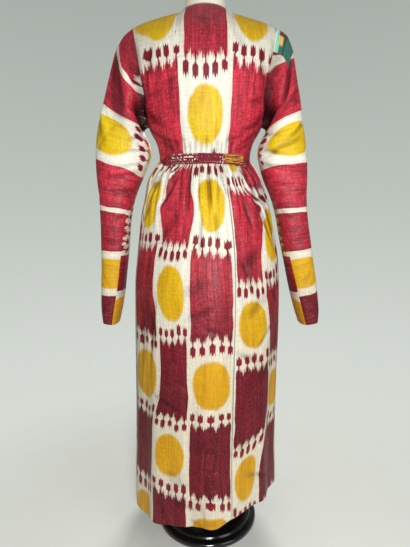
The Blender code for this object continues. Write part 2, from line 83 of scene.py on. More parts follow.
def readTable(pairs, value):
    # straight lines through (value, result) pairs in rising order, carried on past both ends
    index = 0
    while index < len(pairs) - 2 and value > pairs[index + 1][0]:
        index += 1
    (x0, y0), (x1, y1) = pairs[index], pairs[index + 1]
    return y0 + (y1 - y0) * (value - x0) / (x1 - x0)


def runningLengths(points):
    lengths = [0.0]
    for first, second in zip(points, points[1:]):
        lengths.append(lengths[-1] + (second - first).length)
    return lengths


def arcLengths(pointAt, steps):
    # running length of the line through pointAt(0) to pointAt(1)
    return runningLengths([pointAt(k / steps) for k in range(steps + 1)])


def lengthAt(lengths, share):
    position = min(max(share, 0.0), 1.0) * (len(lengths) - 1)
    low = min(int(position), len(lengths) - 2)
    return lengths[low] + (lengths[low + 1] - lengths[low]) * (position - low)


# shares of a crease's line where it starts, is full, begins to fade and ends
creaseEnds = (-0.15, 0.3, 0.6, 1.15)


def creaseDepth(creases, x, y):
    # soft troughs (minus) and ridges (plus): each is a line with a width, a depth and tapered ends
    start, full, fading, end = creaseEnds
    total = 0.0
    for x0, y0, x1, y1, width, depth in creases:
        alongX, alongY = x1 - x0, y1 - y0
        size = alongX * alongX + alongY * alongY
        share = ((x - x0) * alongX + (y - y0) * alongY) / size
        if not start < share < end:
            continue
        awayX, awayY = x - x0 - alongX * share, y - y0 - alongY * share
        away = sqrt(awayX * awayX + awayY * awayY) / width
        if away >= 1:
            continue
        taper = smoothStep(start, full, share) * (1 - smoothStep(fading, end, share))
        total += depth * taper * (1 - away * away) ** 2
    return total


cloth = {
    # metres: how far it stands off the body, its thickness, how near two points are one, the depth of crease that gets
    # full painted shade
    "out": 0.0016, "thick": 0.0011, "merge": 0.00002, "fullShadeDepth": 0.005,
    # the hanging cloth's unevenness in metres, and how many of its ripples go to a metre
    "ripple": 0.0012, "bodiceRipples": 11, "sleeveRipples": 13,
    # heights between which the painted shade along an armhole's seam dies out, and between which it deepens
    "seamFade": (1.350, 1.300), "seamDeepens": (1.28, 1.16),
}

# the body's measures, the same as the solids'
bodice = {
    "nape": 1.410, "shoulder": 1.380, "underarm": 1.130, "frontNeck": 1.300, "waist": 1.0355,
    "shoulderHalf": 0.190, "neckHalf": 0.062, "neckBack": 0.056, "neckFront": 0.098,
    "neckRoundness": 3.6, "slope": 0.24, "droop": 1.6, "droopStart": 0.14, "roll": 0.090,
    "napeStand": radians(40), "armholeTurn": radians(26), "armholeTurnHeight": 0.070,
    "opening": 0.006, "napeFade": (0.8, 1.08), "neckRise": 1.25,
    "columns": 120, "rows": 120, "neckColumns": 0.45, "backPhase": 0.5, "frontPhase": 0.12,
    # height, half width, back, front
    "sections": (
        (1.000, 0.1212, 0.0904, 0.0844), (1.036, 0.1207, 0.0884, 0.0834),
        (1.060, 0.1222, 0.0894, 0.0864), (1.090, 0.1302, 0.0954, 0.0984),
        (1.115, 0.1442, 0.1004, 0.1084), (1.130, 0.1512, 0.1024, 0.1124),
        (1.160, 0.1622, 0.1064, 0.1184), (1.200, 0.1722, 0.1094, 0.1194),
        (1.270, 0.1862, 0.1084, 0.1064), (1.330, 0.1962, 0.0984, 0.0864),
        (1.420, 0.2062, 0.0784, 0.0634),
    ),
    # height, repeats of the pattern up to there
    "repeats": (
        (1.030, 0.19), (1.069, 0.145), (1.202, -0.145), (1.2547, -0.231),
        (1.2733, -0.269), (1.314, -0.355), (1.420, -0.580),
    ),
    # height, loom metres to a metre of worn cloth: gathered in at the waist, eased at the shoulders
    "ease": ((1.040, 1.090), (1.100, 1.000), (1.170, 0.960), (1.235, 0.915), (1.400, 0.908)),
    "centreShift": 0.0017,
    # the last of the back's width, eased into the armholes: where it starts, the share that is kept, and
    # what the right shoulder keeps besides, between two heights
    "edge": 0.130, "kept": 0.30, "rightKept": 0.36, "rightFrom": (1.18, 1.22),
    # the outer stripes are drawn in to their middles towards the shoulders
    "pinch": 0.28, "pinchFrom": (1.28, 1.33),
    # metres to a full share across, for the creases
    "creaseHalf": 0.18,
    # painted shade in the corner over the strip's end: shares across, heights, and how dark it is on each side
    "cornerAcross": (0.55, 0.95), "cornerHeights": (1.115, 1.050), "cornerRight": 0.85, "cornerLeft": 0.55,
    # metres across, height, metres, height, width, depth
    "backCreases": (
        (-0.172, 1.152, -0.080, 1.098, 0.014, -0.0040), (-0.165, 1.182, -0.105, 1.170, 0.010, -0.0030),
        (-0.160, 1.120, -0.085, 1.060, 0.012, -0.0036), (-0.135, 1.080, -0.080, 1.048, 0.008, -0.0030),
        (0.172, 1.158, 0.080, 1.112, 0.014, -0.0042), (0.165, 1.192, 0.110, 1.190, 0.010, -0.0030),
        (0.160, 1.122, 0.078, 1.062, 0.012, -0.0036), (0.135, 1.085, 0.070, 1.048, 0.008, -0.0028),
        (0.120, 1.310, 0.152, 1.225, 0.014, -0.0034), (-0.135, 1.300, -0.156, 1.220, 0.014, -0.0034),
        (0.060, 1.225, 0.115, 1.205, 0.010, -0.0022), (-0.030, 1.360, 0.030, 1.352, 0.012, -0.0016),
        (0.100, 1.085, 0.060, 1.070, 0.007, -0.0026), (-0.100, 1.092, -0.050, 1.078, 0.007, -0.0026),
        (0.052, 1.090, 0.050, 1.045, 0.006, -0.0030), (0.036, 1.072, 0.037, 1.045, 0.005, -0.0026),
        (0.022, 1.084, 0.024, 1.045, 0.005, -0.0028), (0.009, 1.070, 0.010, 1.045, 0.005, -0.0024),
        (-0.004, 1.088, -0.002, 1.045, 0.005, -0.0028), (-0.016, 1.070, -0.016, 1.045, 0.005, -0.0024),
        (-0.028, 1.080, -0.029, 1.045, 0.005, -0.0030), (-0.041, 1.074, -0.040, 1.045, 0.005, -0.0024),
        (-0.054, 1.092, -0.052, 1.045, 0.006, -0.0030), (0.070, 1.080, 0.066, 1.045, 0.006, -0.0028),
        (-0.070, 1.080, -0.067, 1.045, 0.006, -0.0028), (0.090, 1.072, 0.084, 1.045, 0.006, -0.0026),
        (-0.088, 1.072, -0.082, 1.045, 0.006, -0.0026), (0.150, 1.260, 0.165, 1.180, 0.010, -0.0034),
        (-0.160, 1.260, -0.168, 1.180, 0.010, -0.0034), (-0.060, 1.330, -0.090, 1.290, 0.012, -0.0018),
    ),
    "frontCreases": (
        (0.168, 1.160, 0.085, 1.110, 0.014, -0.0042), (0.155, 1.120, 0.075, 1.064, 0.012, -0.0034),
        (0.150, 1.250, 0.090, 1.190, 0.014, -0.0032), (0.060, 1.090, 0.055, 1.045, 0.007, -0.0028),
        (0.028, 1.100, 0.030, 1.045, 0.007, -0.0026), (0.120, 1.330, 0.075, 1.270, 0.014, -0.0024),
        (0.080, 1.078, 0.076, 1.045, 0.006, -0.0026), (0.044, 1.074, 0.043, 1.045, 0.006, -0.0024),
    ),
}

form = {
    "lean": 0.007, "leanStart": 0.85, "leanEnd": 1.02, "sides": 72, "rows": 110, "sharpAbove": radians(50),
    "jerseyLow": "#DCD2BC", "jerseyHigh": "#F0E9D8",
    # height, half width, back, front
    "sections": (
        (0.800, 0.1480, 0.120, 0.110), (0.812, 0.1560, 0.128, 0.117), (0.860, 0.1580, 0.130, 0.118),
        (0.920, 0.1480, 0.120, 0.108), (0.980, 0.1270, 0.100, 0.092), (1.036, 0.1130, 0.081, 0.077),
        (1.090, 0.1210, 0.087, 0.090), (1.130, 0.1400, 0.094, 0.104), (1.200, 0.1540, 0.101, 0.111),
        (1.270, 0.1560, 0.099, 0.096), (1.320, 0.1600, 0.084, 0.074), (1.348, 0.1610, 0.064, 0.054),
        (1.364, 0.1500, 0.046, 0.038), (1.376, 0.1200, 0.042, 0.034), (1.386, 0.0860, 0.042, 0.034),
        (1.398, 0.0600, 0.044, 0.037), (1.416, 0.0530, 0.047, 0.042), (1.445, 0.0510, 0.049, 0.047),
        (1.468, 0.0505, 0.049, 0.047), (1.474, 0.0470, 0.046, 0.044),
    ),
}


def leanAt(height):
    return form["lean"] * smoothStep(form["leanStart"], form["leanEnd"], height)


def bodicePoint(across, down, side):
    # across: -1 to 1, armhole to armhole; down: 0 top, 1 underarm, 2 waist; side: 1 back, -1 front
    b = bodice
    xTop = across * b["shoulderHalf"]
    share = min(1.0, abs(xTop) / b["neckHalf"])
    stand = b["napeStand"] * (1 - smoothStep(*b["napeFade"], abs(xTop) / b["neckHalf"]))
    beyond = max(0.0, abs(xTop) - b["droopStart"])
    seam = b["nape"] - b["slope"] * max(0.0, abs(xTop) - b["neckHalf"]) - b["droop"] * beyond * beyond
    if side > 0:
        yTop = b["neckBack"] * sqrt(1 - share * share)
        top = seam
    else:
        yTop = -b["neckFront"] * (1 - share ** b["neckRoundness"])
        top = b["frontNeck"] + (seam - b["frontNeck"]) * share ** b["neckRise"]
    if down > 1:
        height = b["underarm"] + (bodiceFoot(across, side) - b["underarm"]) * (down - 1)
        reach = 1.0
    else:
        height = top - (top - b["underarm"]) * down
        roll = b["roll"] * (top - b["underarm"]) / (b["shoulder"] - b["underarm"])
        fall = cos(stand) - (top - height) / roll
        angle = pi / 2 if fall <= 0 else acos(min(1.0, fall))
        reach = (sin(angle) - sin(stand)) / (1 - sin(stand))
    halfWidth, back, front = sectionAt(b["sections"], height)
    above = min(1.0, max(0.0, height - b["underarm"]) / b["armholeTurnHeight"])
    turn = across * (pi / 2 - b["armholeTurn"] * sqrt(above))
    x = xTop + (halfWidth * sin(turn) - xTop) * reach
    y = yTop + (side * (back if side > 0 else front) * cos(turn) - yTop) * reach
    return Vector((x + leanAt(height), y, height))



def pieceFrom(shape, name):
    mesh = bpy.data.meshes.new(name)
    shape.to_mesh(mesh)
    shape.free()
    piece = bpy.data.objects.new(name, mesh)
    bpy.context.collection.objects.link(piece)
    return piece


def placedGrid(name, columns, rows, place, uvOf, creases=None, paintedShadeAt=None, closed=False, out=0.0, thick=0.0):
    # A flat grid of cloth, given its flat measures as UVs and then put in its worn place.
    # place and uvOf take shares (across, down) from 0 to 1; creases and the painted shade take the same shares.
    shape = bmesh.new()
    flat = shape.loops.layers.uv.new("cloth")
    acrossLayer = shape.verts.layers.float.new("across")
    downLayer = shape.verts.layers.float.new("down")
    bmesh.ops.create_grid(shape, x_segments=columns, y_segments=rows, size=0.5)
    for point in shape.verts:
        point[acrossLayer] = point.co.x + 0.5
        point[downLayer] = 0.5 - point.co.y
    for face in shape.faces:
        middle = face.calc_center_median()
        for loop in face.loops:
            share = loop.vert[acrossLayer]
            loop[flat].uv = uvOf(share, loop.vert[downLayer], middle.x + 0.5, 0.5 - middle.y)
    for point in shape.verts:
        point.co = place(point[acrossLayer], point[downLayer])
    if closed:
        bmesh.ops.remove_doubles(shape, verts=shape.verts, dist=cloth["merge"])
    shape.normal_update()
    # painted shade kept on each point: darker colour in the creases' troughs, along the armhole seams, under the arms,
    # in the waist corners and between the gathers
    paintedShade = shape.verts.layers.float.new("paintedShade")
    for point in shape.verts:
        lift = out
        if creases:
            depth = creases(point[acrossLayer], point[downLayer])
            lift += depth
            point[paintedShade] = min(1.0, max(0.0, -depth / cloth["fullShadeDepth"]))
            if paintedShadeAt:
                point[paintedShade] = max(point[paintedShade], paintedShadeAt(point[acrossLayer], point[downLayer]))
        point.co += point.normal * lift
    piece = pieceFrom(shape, name)
    piece.data.shade_smooth()
    if thick:
        wall = piece.modifiers.new("cloth wall", "SOLIDIFY")
        wall.thickness = thick
        wall.offset = -1
        wall.use_even_offset = False
    return piece


def wornPanel(name, columns, rows, place, uvOf, creases, paintedShadeAt, closed=False):
    # a panel of the robe, at the cloth's own thickness and standing off the body
    return placedGrid(name, columns, rows, place, uvOf, creases, paintedShadeAt, closed, cloth["out"], cloth["thick"])


def finished(piece, material, slotName, *nodes):
    piece.data.materials.clear()
    piece.data.materials.append(material)
    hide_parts(*nodes)
    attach(piece, "root")
    return piece


def linear(hexColour):
    # sRGB hex to the linear colour that the sockets take
    values = [int(hexColour[k : k + 2], 16) / 255 for k in (1, 3, 5)]
    return (*[v / 12.92 if v <= 0.04045 else ((v + 0.055) / 1.055) ** 2.4 for v in values], 1.0)


def addNode(tree, kind, inputs=None, output=0, **settings):
    made = tree.nodes.new("ShaderNode" + kind)
    for key, value in settings.items():
        setattr(made, key, value)
    for key, value in (inputs or {}).items():
        if isinstance(value, bpy.types.NodeSocket):
            tree.links.new(value, made.inputs[key])
        else:
            made.inputs[key].default_value = value
    return made.outputs[output] if made.outputs else made


def newMaterial(name):
    material = bpy.data.materials.new(name)
    material.use_nodes = True
    material.node_tree.nodes.clear()
    return material, material.node_tree


ikat = {
    # metres of cloth: the loom's width, one stripe of it, one turn of the pattern along it
    "loom": 0.325, "pitch": 0.325 / 3, "repeat": 0.43,
    "blockReach": 0.0940, "blockEdge": 0.0012, "blockSide": 0.0007, "tongue": 0.0150,
    "ovalReach": 0.0640, "ovalRoundness": 2.2, "ovalEdge": 0.16,
    "buds": 5, "budStart": 0.1120, "budLength": 0.0285, "budHalf": 0.0068, "budEdge": 0.0007, "budPoints": 0.11,
    # a bud's least share of its length, and what chance adds
    "budSizes": (0.78, 0.35),
    "stemHalf": 0.0010, "stemEdge": (0.0005, 0.0004), "stemFoot": (0.084, 0.092), "haloReach": (0.145, 0.105),
    "ringStep": (0.0085, 0.024), "cockle": 0.0034, "weave": 0.0010,
    # shares of the loom's width from a selvage, clear of its thread and on it
    "selvage": (0.0056, 0.0030),
    # heights where the painted shade on the shoulders begins and is deepest, and the share of the painted top light
    # left there
    "shoulderShadeFrom": (1.22, 1.35), "shoulderShadeTo": 0.45,
    # how far the threads slip: a stripe's sway, each bud's slip along and across, and the three feathered edges
    "sway": 0.008, "slip": 0.0130, "lean": 0.0026, "blockFeather": 0.044, "ovalFeather": 0.017, "budFeather": 0.014,
    "burgundyHigh": "#CE2C40", "burgundyLow": "#6C111F", "burgundyDark": "#52091A", "budColour": "#86172A",
    "stemColour": "#4A0A1A", "yellowHigh": "#EDCA12", "yellowLow": "#DCA418", "amber": "#C98A12",
    "creamHigh": "#F3F0E0", "creamLow": "#E2D9C2", "halo": "#EDC4BC", "weftPeep": "#DA6670", "nested": "#D2525E",
    # shares of painted shade in the creases and seams, less of it on pale cloth, and of painted shade at the neck,
    # between two heights
    "hollowShade": 0.70, "paleHollow": 0.20, "neckShade": 0.80, "neckShadeFrom": (1.24, 1.35),
    # how many to a metre across and along the cloth, octaves, roughness
    "grain": {
        "threads": (760, 15, 1, 0.5),  # small bundles of threads, 1.3 mm across
        "drift": (2.5, 17, 1, 0.5),  # every 60 mm, as the warp was wound
        "depth": (52, 9, 3, 0.6),  # dye that took unevenly, 19 mm by 110 mm
        "peeps": (310, 430, 2, 0.5),  # cotton weft between the silk threads, 3 mm by 2.3 mm
        # warp streaks, weft ribs and slubs, drawn 4 to 8 mm apart where the real ones are 0.8, so that they show
        "streaks": (250, 9, 2, 0.5),
        "ribs": (30, 240, 2, 0.5),
        "slubs": (150, 130, 3, 0.7),
    },
    # how strongly each of those shades the colour, and its darkest
    "shading": {"streaks": (1.50, 0.25), "ribs": (1.10, 0.45), "slubs": (1.30, 0.35)},
}


def ikatMaterial(name, blockHalf, ovalHalf, selvageColour, selvageShare, dimmestAt, brightAt):
    # Adras: silk warp over a ribbed cotton weft, dyed before weaving and polished after.
    # The warp is tied in bundles, so every edge across it is feathered and every edge along it clean.
    material, tree = newMaterial(name)
    k = ikat
    pitch, repeat = k["pitch"], k["repeat"]
    uv = addNode(tree, "UVMap", uv_map="cloth")
    u = addNode(tree, "SeparateXYZ", {0: uv})
    v = u.node.outputs[1]
    grain = {}
    for key, (across, along, octaves, roughness) in k["grain"].items():
        spread = addNode(tree, "VectorMath", {0: uv, 1: (across, along, 0)}, operation="MULTIPLY")
        grain[key] = addNode(tree, "TexNoise", {
            "Vector": spread, "Scale": 1.0, "Detail": octaves, "Roughness": roughness,
        })
    fine = addNode(tree, "Math", {0: grain["threads"], 1: -0.5}, operation="ADD")
    sway = addNode(tree, "Math", {0: grain["drift"], 1: k["sway"], 2: -k["sway"] / 2}, operation="MULTIPLY_ADD")

    # which stripe of blocks and ovals this is, and where in it; the middle stripe runs half a turn on
    stripe = addNode(tree, "Math", {0: u, 1: pitch}, operation="DIVIDE")
    stripeIndex = addNode(tree, "Math", {0: stripe}, operation="FLOOR")
    stripeShare = addNode(tree, "Math", {0: stripe, 1: stripeIndex}, operation="SUBTRACT")
    x = addNode(tree, "Math", {0: stripeShare, 1: pitch, 2: -pitch / 2}, operation="MULTIPLY_ADD")
    inLoom = addNode(tree, "Math", {0: stripeIndex, 1: 3.0}, operation="FLOORED_MODULO")
    isMiddle = addNode(tree, "Math", {0: inLoom, 1: 1.0, 2: 0.1}, operation="COMPARE")
    turns = addNode(tree, "Math", {0: v, 1: repeat}, operation="DIVIDE")
    turns = addNode(tree, "Math", {0: isMiddle, 1: 0.5, 2: turns}, operation="MULTIPLY_ADD")
    whole = addNode(tree, "Math", {0: turns}, operation="ROUND")
    y = addNode(tree, "Math", {0: turns, 1: whole}, operation="SUBTRACT")
    y = addNode(tree, "Math", {0: y, 1: repeat}, operation="MULTIPLY")
    fromOval = addNode(tree, "Math", {0: y}, operation="ABSOLUTE")
    fromBlock = addNode(tree, "Math", {0: repeat / 2, 1: fromOval}, operation="SUBTRACT")
    sideways = addNode(tree, "Math", {0: x, 1: sway}, operation="ADD")
    sideways = addNode(tree, "Math", {0: sideways}, operation="ABSOLUTE")

    # each tied bundle slips its own way, and its tongue, stem and bud with it
    budPlace = addNode(tree, "Math", {0: stripe, 1: k["buds"]}, operation="MULTIPLY")
    budIndex = addNode(tree, "Math", {0: budPlace}, operation="FLOOR")
    rowIndex = addNode(tree, "Math", {0: turns, 1: 2.0}, operation="MULTIPLY")
    rowIndex = addNode(tree, "Math", {0: rowIndex}, operation="FLOOR")
    budCell = addNode(tree, "CombineXYZ", {0: budIndex, 1: rowIndex})
    chance = addNode(tree, "TexWhiteNoise", {"Vector": budCell}, 1)
    slip = addNode(tree, "SeparateXYZ", {0: chance})
    size = slip.node.outputs[1]
    lean = slip.node.outputs[2]
    slip = addNode(tree, "Math", {0: slip, 1: k["slip"], 2: -k["slip"] / 2}, operation="MULTIPLY_ADD")
    slipped = addNode(tree, "Math", {0: fromBlock, 1: slip}, operation="ADD")
    budX = addNode(tree, "Math", {0: budPlace, 1: budIndex}, operation="SUBTRACT")
    budPitch = pitch / k["buds"]
    budX = addNode(tree, "Math", {0: budX, 1: budPitch, 2: -budPitch / 2}, operation="MULTIPLY_ADD")
    budSide = addNode(tree, "Math", {0: budX}, operation="ABSOLUTE")

    # burgundy block, its ends drawn out into a tongue at each stem
    tongue = addNode(tree, "Math", {0: budSide, 1: -2 / budPitch, 2: 1.0}, operation="MULTIPLY_ADD")
    tongue = addNode(tree, "Math", {0: tongue, 1: 1.1}, operation="POWER")
    ragged = addNode(tree, "Math", {0: fine, 1: k["blockFeather"], 2: slipped}, operation="MULTIPLY_ADD")
    ragged = addNode(tree, "Math", {0: tongue, 1: -k["tongue"], 2: ragged}, operation="MULTIPLY_ADD")
    block = 1.0
    for away, half, soft in ((ragged, k["blockReach"], k["blockEdge"]), (sideways, blockHalf, k["blockSide"])):
        inside = addNode(tree, "MapRange", {"Value": away, "From Min": half + soft, "From Max": half - soft})
        block = addNode(tree, "Math", {0: inside, 1: block}, operation="MULTIPLY")

    # yellow oval, soft at its two ends
    ovalX = addNode(tree, "Math", {0: sideways, 1: ovalHalf}, operation="DIVIDE")
    ovalX = addNode(tree, "Math", {0: ovalX, 1: k["ovalRoundness"]}, operation="POWER")
    ovalY = addNode(tree, "Math", {0: fine, 1: k["ovalFeather"], 2: fromOval}, operation="MULTIPLY_ADD")
    ovalY = addNode(tree, "Math", {0: ovalY, 1: k["ovalReach"]}, operation="DIVIDE")
    ovalY = addNode(tree, "Math", {0: ovalY, 1: 0.0}, operation="MAXIMUM")
    ovalY = addNode(tree, "Math", {0: ovalY, 1: k["ovalRoundness"]}, operation="POWER")
    ovalSize = addNode(tree, "Math", {0: ovalX, 1: ovalY}, operation="ADD")
    oval = addNode(tree, "MapRange", {
        "Value": ovalSize, "From Min": 1 + k["ovalEdge"], "From Max": 1 - k["ovalEdge"],
    }, interpolation_type="SMOOTHSTEP")

    # five tulip buds at each end of a block: square shoulders, three points, a thin dark stem
    budOff = addNode(tree, "Math", {0: lean, 1: k["lean"], 2: -k["lean"] / 2}, operation="MULTIPLY_ADD")
    budAway = addNode(tree, "Math", {0: budX, 1: budOff}, operation="ADD")
    budAway = addNode(tree, "Math", {0: budAway}, operation="ABSOLUTE")
    budDown = addNode(tree, "Math", {0: fine, 1: k["budFeather"], 2: slipped}, operation="MULTIPLY_ADD")
    budDown = addNode(tree, "Math", {0: budDown, 1: k["budStart"]}, operation="SUBTRACT")
    least, more = (share * k["budLength"] for share in k["budSizes"])
    budLong = addNode(tree, "Math", {0: size, 1: more, 2: least}, operation="MULTIPLY_ADD")
    budShare = addNode(tree, "Math", {0: budDown, 1: budLong}, operation="DIVIDE")
    shoulder = addNode(tree, "MapRange", {
        "Value": budShare, "From Min": 0.0, "From Max": 0.24, "To Min": 0.18, "To Max": 1.0,
    }, interpolation_type="SMOOTHSTEP")
    taper = addNode(tree, "MapRange", {
        "Value": budShare, "From Min": 0.34, "From Max": 1.1, "To Min": 1.0, "To Max": 0.86,
    })
    budWidth = addNode(tree, "Math", {0: shoulder, 1: taper}, operation="MULTIPLY")
    budWidth = addNode(tree, "Math", {0: budWidth, 1: k["budHalf"]}, operation="MULTIPLY")
    budInside = addNode(tree, "Math", {0: budWidth, 1: budAway}, operation="SUBTRACT")
    budInside = addNode(tree, "MapRange", {"Value": budInside, "From Min": -k["budEdge"], "From Max": k["budEdge"]})
    budFoot = addNode(tree, "MapRange", {"Value": budShare, "From Min": -0.06, "From Max": 0.02})
    points = addNode(tree, "Math", {0: budAway, 1: 2 * pi / k["budHalf"]}, operation="MULTIPLY")
    points = addNode(tree, "Math", {0: points}, operation="COSINE")
    crown = addNode(tree, "Math", {0: points, 1: -k["budPoints"], 2: budShare}, operation="MULTIPLY_ADD")
    crown = addNode(tree, "MapRange", {"Value": crown, "From Min": 0.93, "From Max": 0.84})
    bud = addNode(tree, "Math", {0: budInside, 1: budFoot}, operation="MULTIPLY")
    bud = addNode(tree, "Math", {0: bud, 1: crown}, operation="MULTIPLY")
    outer, inner = k["stemHalf"] + k["stemEdge"][0], k["stemHalf"] - k["stemEdge"][1]
    stem = addNode(tree, "MapRange", {"Value": budSide, "From Min": outer, "From Max": inner})
    for away, out, inside in ((budShare, 0.3, 0.1), (fromBlock, *k["stemFoot"])):
        end = addNode(tree, "MapRange", {"Value": away, "From Min": out, "From Max": inside})
        stem = addNode(tree, "Math", {0: end, 1: stem}, operation="MULTIPLY")

    # painted light: each colour lighter towards the top of the robe and darker at its hem, then painted shade on the
    # shoulders
    place = addNode(tree, "TexCoord", output=3)
    height = addNode(tree, "SeparateXYZ", {0: place}, 2)
    paintedTopLight = addNode(tree, "MapRange", {
        "Value": height, "From Min": dimmestAt, "From Max": brightAt,
    }, interpolation_type="SMOOTHSTEP")
    # painted shade on the shoulders takes back some of the painted top light
    start, end = k["shoulderShadeFrom"]
    worn = addNode(tree, "MapRange", {
        "Value": height, "From Min": start, "From Max": end, "To Min": 1.0, "To Max": k["shoulderShadeTo"],
    })
    paintedTopLight = addNode(tree, "Math", {0: paintedTopLight, 1: worn}, operation="MULTIPLY")
    # each colour is mixed between its shaded and lit copies by the painted light, then given its dye marks and the
    # painted fold shade below
    dyed = {}
    for key in ("cream", "yellow", "burgundy"):
        low, high = linear(k[key + "Low"]), linear(k[key + "High"])
        dyed[key] = addNode(tree, "Mix", {0: paintedTopLight, 6: low, 7: high}, 2, data_type="RGBA")

    # pink bled into the cream near a block
    far, near = k["haloReach"]
    halo = addNode(tree, "MapRange", {"Value": fromBlock, "From Min": far, "From Max": near})
    bled = addNode(tree, "MapRange", {"Value": grain["depth"], "From Min": 0.40, "From Max": 0.70, "To Max": 0.6})
    halo = addNode(tree, "Math", {0: halo, 1: bled}, operation="MULTIPLY")

    # painted shade in the folds turns the yellow amber before it darkens it; elsewhere the amber is dye that took
    # unevenly
    paintedShade = addNode(tree, "Attribute", output=2, attribute_name="paintedShade")
    foldShade = addNode(tree, "Math", {0: paintedShade, 1: 0.80}, operation="MULTIPLY")
    amber = addNode(tree, "MapRange", {"Value": grain["depth"], "From Min": 0.42, "From Max": 0.72, "To Max": 0.65})
    amber = addNode(tree, "Math", {0: amber, 1: foldShade}, operation="MAXIMUM")

    # faint nested outlines in the middle of each block
    across, along = k["ringStep"]
    ringX = addNode(tree, "Math", {0: sideways, 1: across}, operation="DIVIDE")
    ringY = addNode(tree, "Math", {0: ragged, 1: along}, operation="DIVIDE")
    ringY = addNode(tree, "Math", {0: ringY}, operation="ABSOLUTE")
    ringSize = addNode(tree, "Math", {0: ringX, 1: ringY}, operation="MAXIMUM")
    ring = addNode(tree, "Math", {0: ringSize, 1: 0.5}, operation="PINGPONG")
    ring = addNode(tree, "MapRange", {"Value": ring, "From Min": 0.30, "From Max": 0.5, "To Max": 0.30})
    for away, out, inside in ((ringSize, 1.75, 1.55), (grain["threads"], 0.42, 0.56)):
        shown = addNode(tree, "MapRange", {"Value": away, "From Min": out, "From Max": inside})
        ring = addNode(tree, "Math", {0: shown, 1: ring}, operation="MULTIPLY")

    # cotton weft showing between the silk threads, most where the painted light is brightest
    peep = addNode(tree, "MapRange", {"Value": grain["peeps"], "From Min": 0.52, "From Max": 0.68, "To Max": 0.50})
    full = addNode(tree, "Math", {0: paintedTopLight, 1: 0.60, 2: 0.40}, operation="MULTIPLY_ADD")
    peep = addNode(tree, "Math", {0: peep, 1: full}, operation="MULTIPLY")

    # one thread of another colour along each selvage
    loomPlace = addNode(tree, "Math", {0: u, 1: k["loom"]}, operation="DIVIDE")
    loomEdge = addNode(tree, "Math", {0: loomPlace}, operation="ROUND")
    loomEdge = addNode(tree, "Math", {0: loomPlace, 1: loomEdge}, operation="SUBTRACT")
    loomEdge = addNode(tree, "Math", {0: loomEdge}, operation="ABSOLUTE")
    clear, on = k["selvage"]
    selvage = addNode(tree, "MapRange", {
        "Value": loomEdge, "From Min": clear, "From Max": on, "To Max": selvageShare,
    })

    deep = addNode(tree, "MapRange", {"Value": grain["depth"], "From Min": 0.44, "From Max": 0.72, "To Max": 0.75})
    for key, share, over in (
        ("burgundy", deep, "burgundyDark"), ("burgundy", ring, "nested"), ("burgundy", peep, "weftPeep"),
        ("cream", halo, "halo"), ("yellow", amber, "amber"),
    ):
        dyed[key] = addNode(tree, "Mix", {0: share, 6: dyed[key], 7: linear(k[over])}, 2, data_type="RGBA")
    colour = dyed["cream"]
    for share, over in (
        (oval, dyed["yellow"]), (block, dyed["burgundy"]), (bud, linear(k["budColour"])),
        (stem, linear(k["stemColour"])), (selvage, linear(selvageColour)),
    ):
        colour = addNode(tree, "Mix", {0: share, 6: colour, 7: over}, 2, data_type="RGBA")

    # the weave shades the burgundy more than the pale cloth; painted shade darkens the creases, seams, underarms,
    # corners and gathers, and the neck
    shade = 1.0
    for key, (gain, darkest) in k["shading"].items():
        share = addNode(tree, "Math", {0: grain[key], 1: gain, 2: darkest}, operation="MULTIPLY_ADD")
        shade = addNode(tree, "Math", {0: share, 1: shade}, operation="MULTIPLY")
    paleCloth = addNode(tree, "Math", {0: 1.0, 1: block}, operation="SUBTRACT")
    evenShade = addNode(tree, "Math", {0: shade, 1: 0.32, 2: 0.66}, operation="MULTIPLY_ADD")
    shade = addNode(tree, "Mix", {0: paleCloth, 2: shade, 3: evenShade})
    hollowShade = addNode(tree, "Math", {
        0: paleCloth, 1: -k["paleHollow"], 2: k["hollowShade"],
    }, operation="MULTIPLY_ADD")
    shaded = addNode(tree, "Math", {0: paintedShade, 1: hollowShade}, operation="MULTIPLY")
    shaded = addNode(tree, "Math", {0: 1.0, 1: shaded}, operation="SUBTRACT")
    # painted shade towards the neck
    start, end = k["neckShadeFrom"]
    neckShaded = addNode(tree, "MapRange", {
        "Value": height, "From Min": start, "From Max": end, "To Min": 1.0, "To Max": k["neckShade"],
    })
    for share in (shaded, neckShaded):
        shade = addNode(tree, "Math", {0: shade, 1: share}, operation="MULTIPLY")
    colour = addNode(tree, "VectorMath", {0: colour, "Scale": shade}, operation="SCALE")

    relief = addNode(tree, "Math", {0: grain["ribs"], 1: grain["streaks"]}, operation="ADD")
    weave = addNode(tree, "Bump", {"Height": relief, "Strength": 0.5, "Distance": k["weave"]})
    # cockling, every 17 mm
    pucker = addNode(tree, "TexNoise", {
        "Vector": place, "Scale": 58.0, "Detail": 3.0, "Roughness": 0.55, "Distortion": 0.8,
    })
    bump = addNode(tree, "Bump", {"Height": pucker, "Strength": 0.55, "Distance": k["cockle"], "Normal": weave})
    gloss = addNode(tree, "MapRange", {
        "Value": grain["streaks"], "From Min": 0.3, "From Max": 0.7, "To Min": 0.56, "To Max": 0.42,
    })
    adras = addNode(tree, "BsdfPrincipled", {
        "Base Color": colour, "Roughness": gloss, "Normal": bump, "Specular IOR Level": 0.28,
        "Sheen Weight": 0.03, "Sheen Roughness": 0.4,
    })
    addNode(tree, "OutputMaterial", {"Surface": adras})
    return material


# half widths of a block and of an oval, selvage colour and share, heights where the painted light is dimmest and
# brightest
bodiceAdras = ikatMaterial("bodice adras ikat", 0.0475, 0.0420, "#2F8C7C", 0.8, 0.46, 1.08)
sleeveAdras = ikatMaterial("sleeve adras ikat", 0.0485, 0.0405, "#E2DAC6", 0.5, 0.60, 1.06)
skirtAdras = ikatMaterial("skirt adras ikat", 0.0490, 0.0440, "#7E9488", 0.8, 0.44, 1.00)
print("ikat cloth dyed")

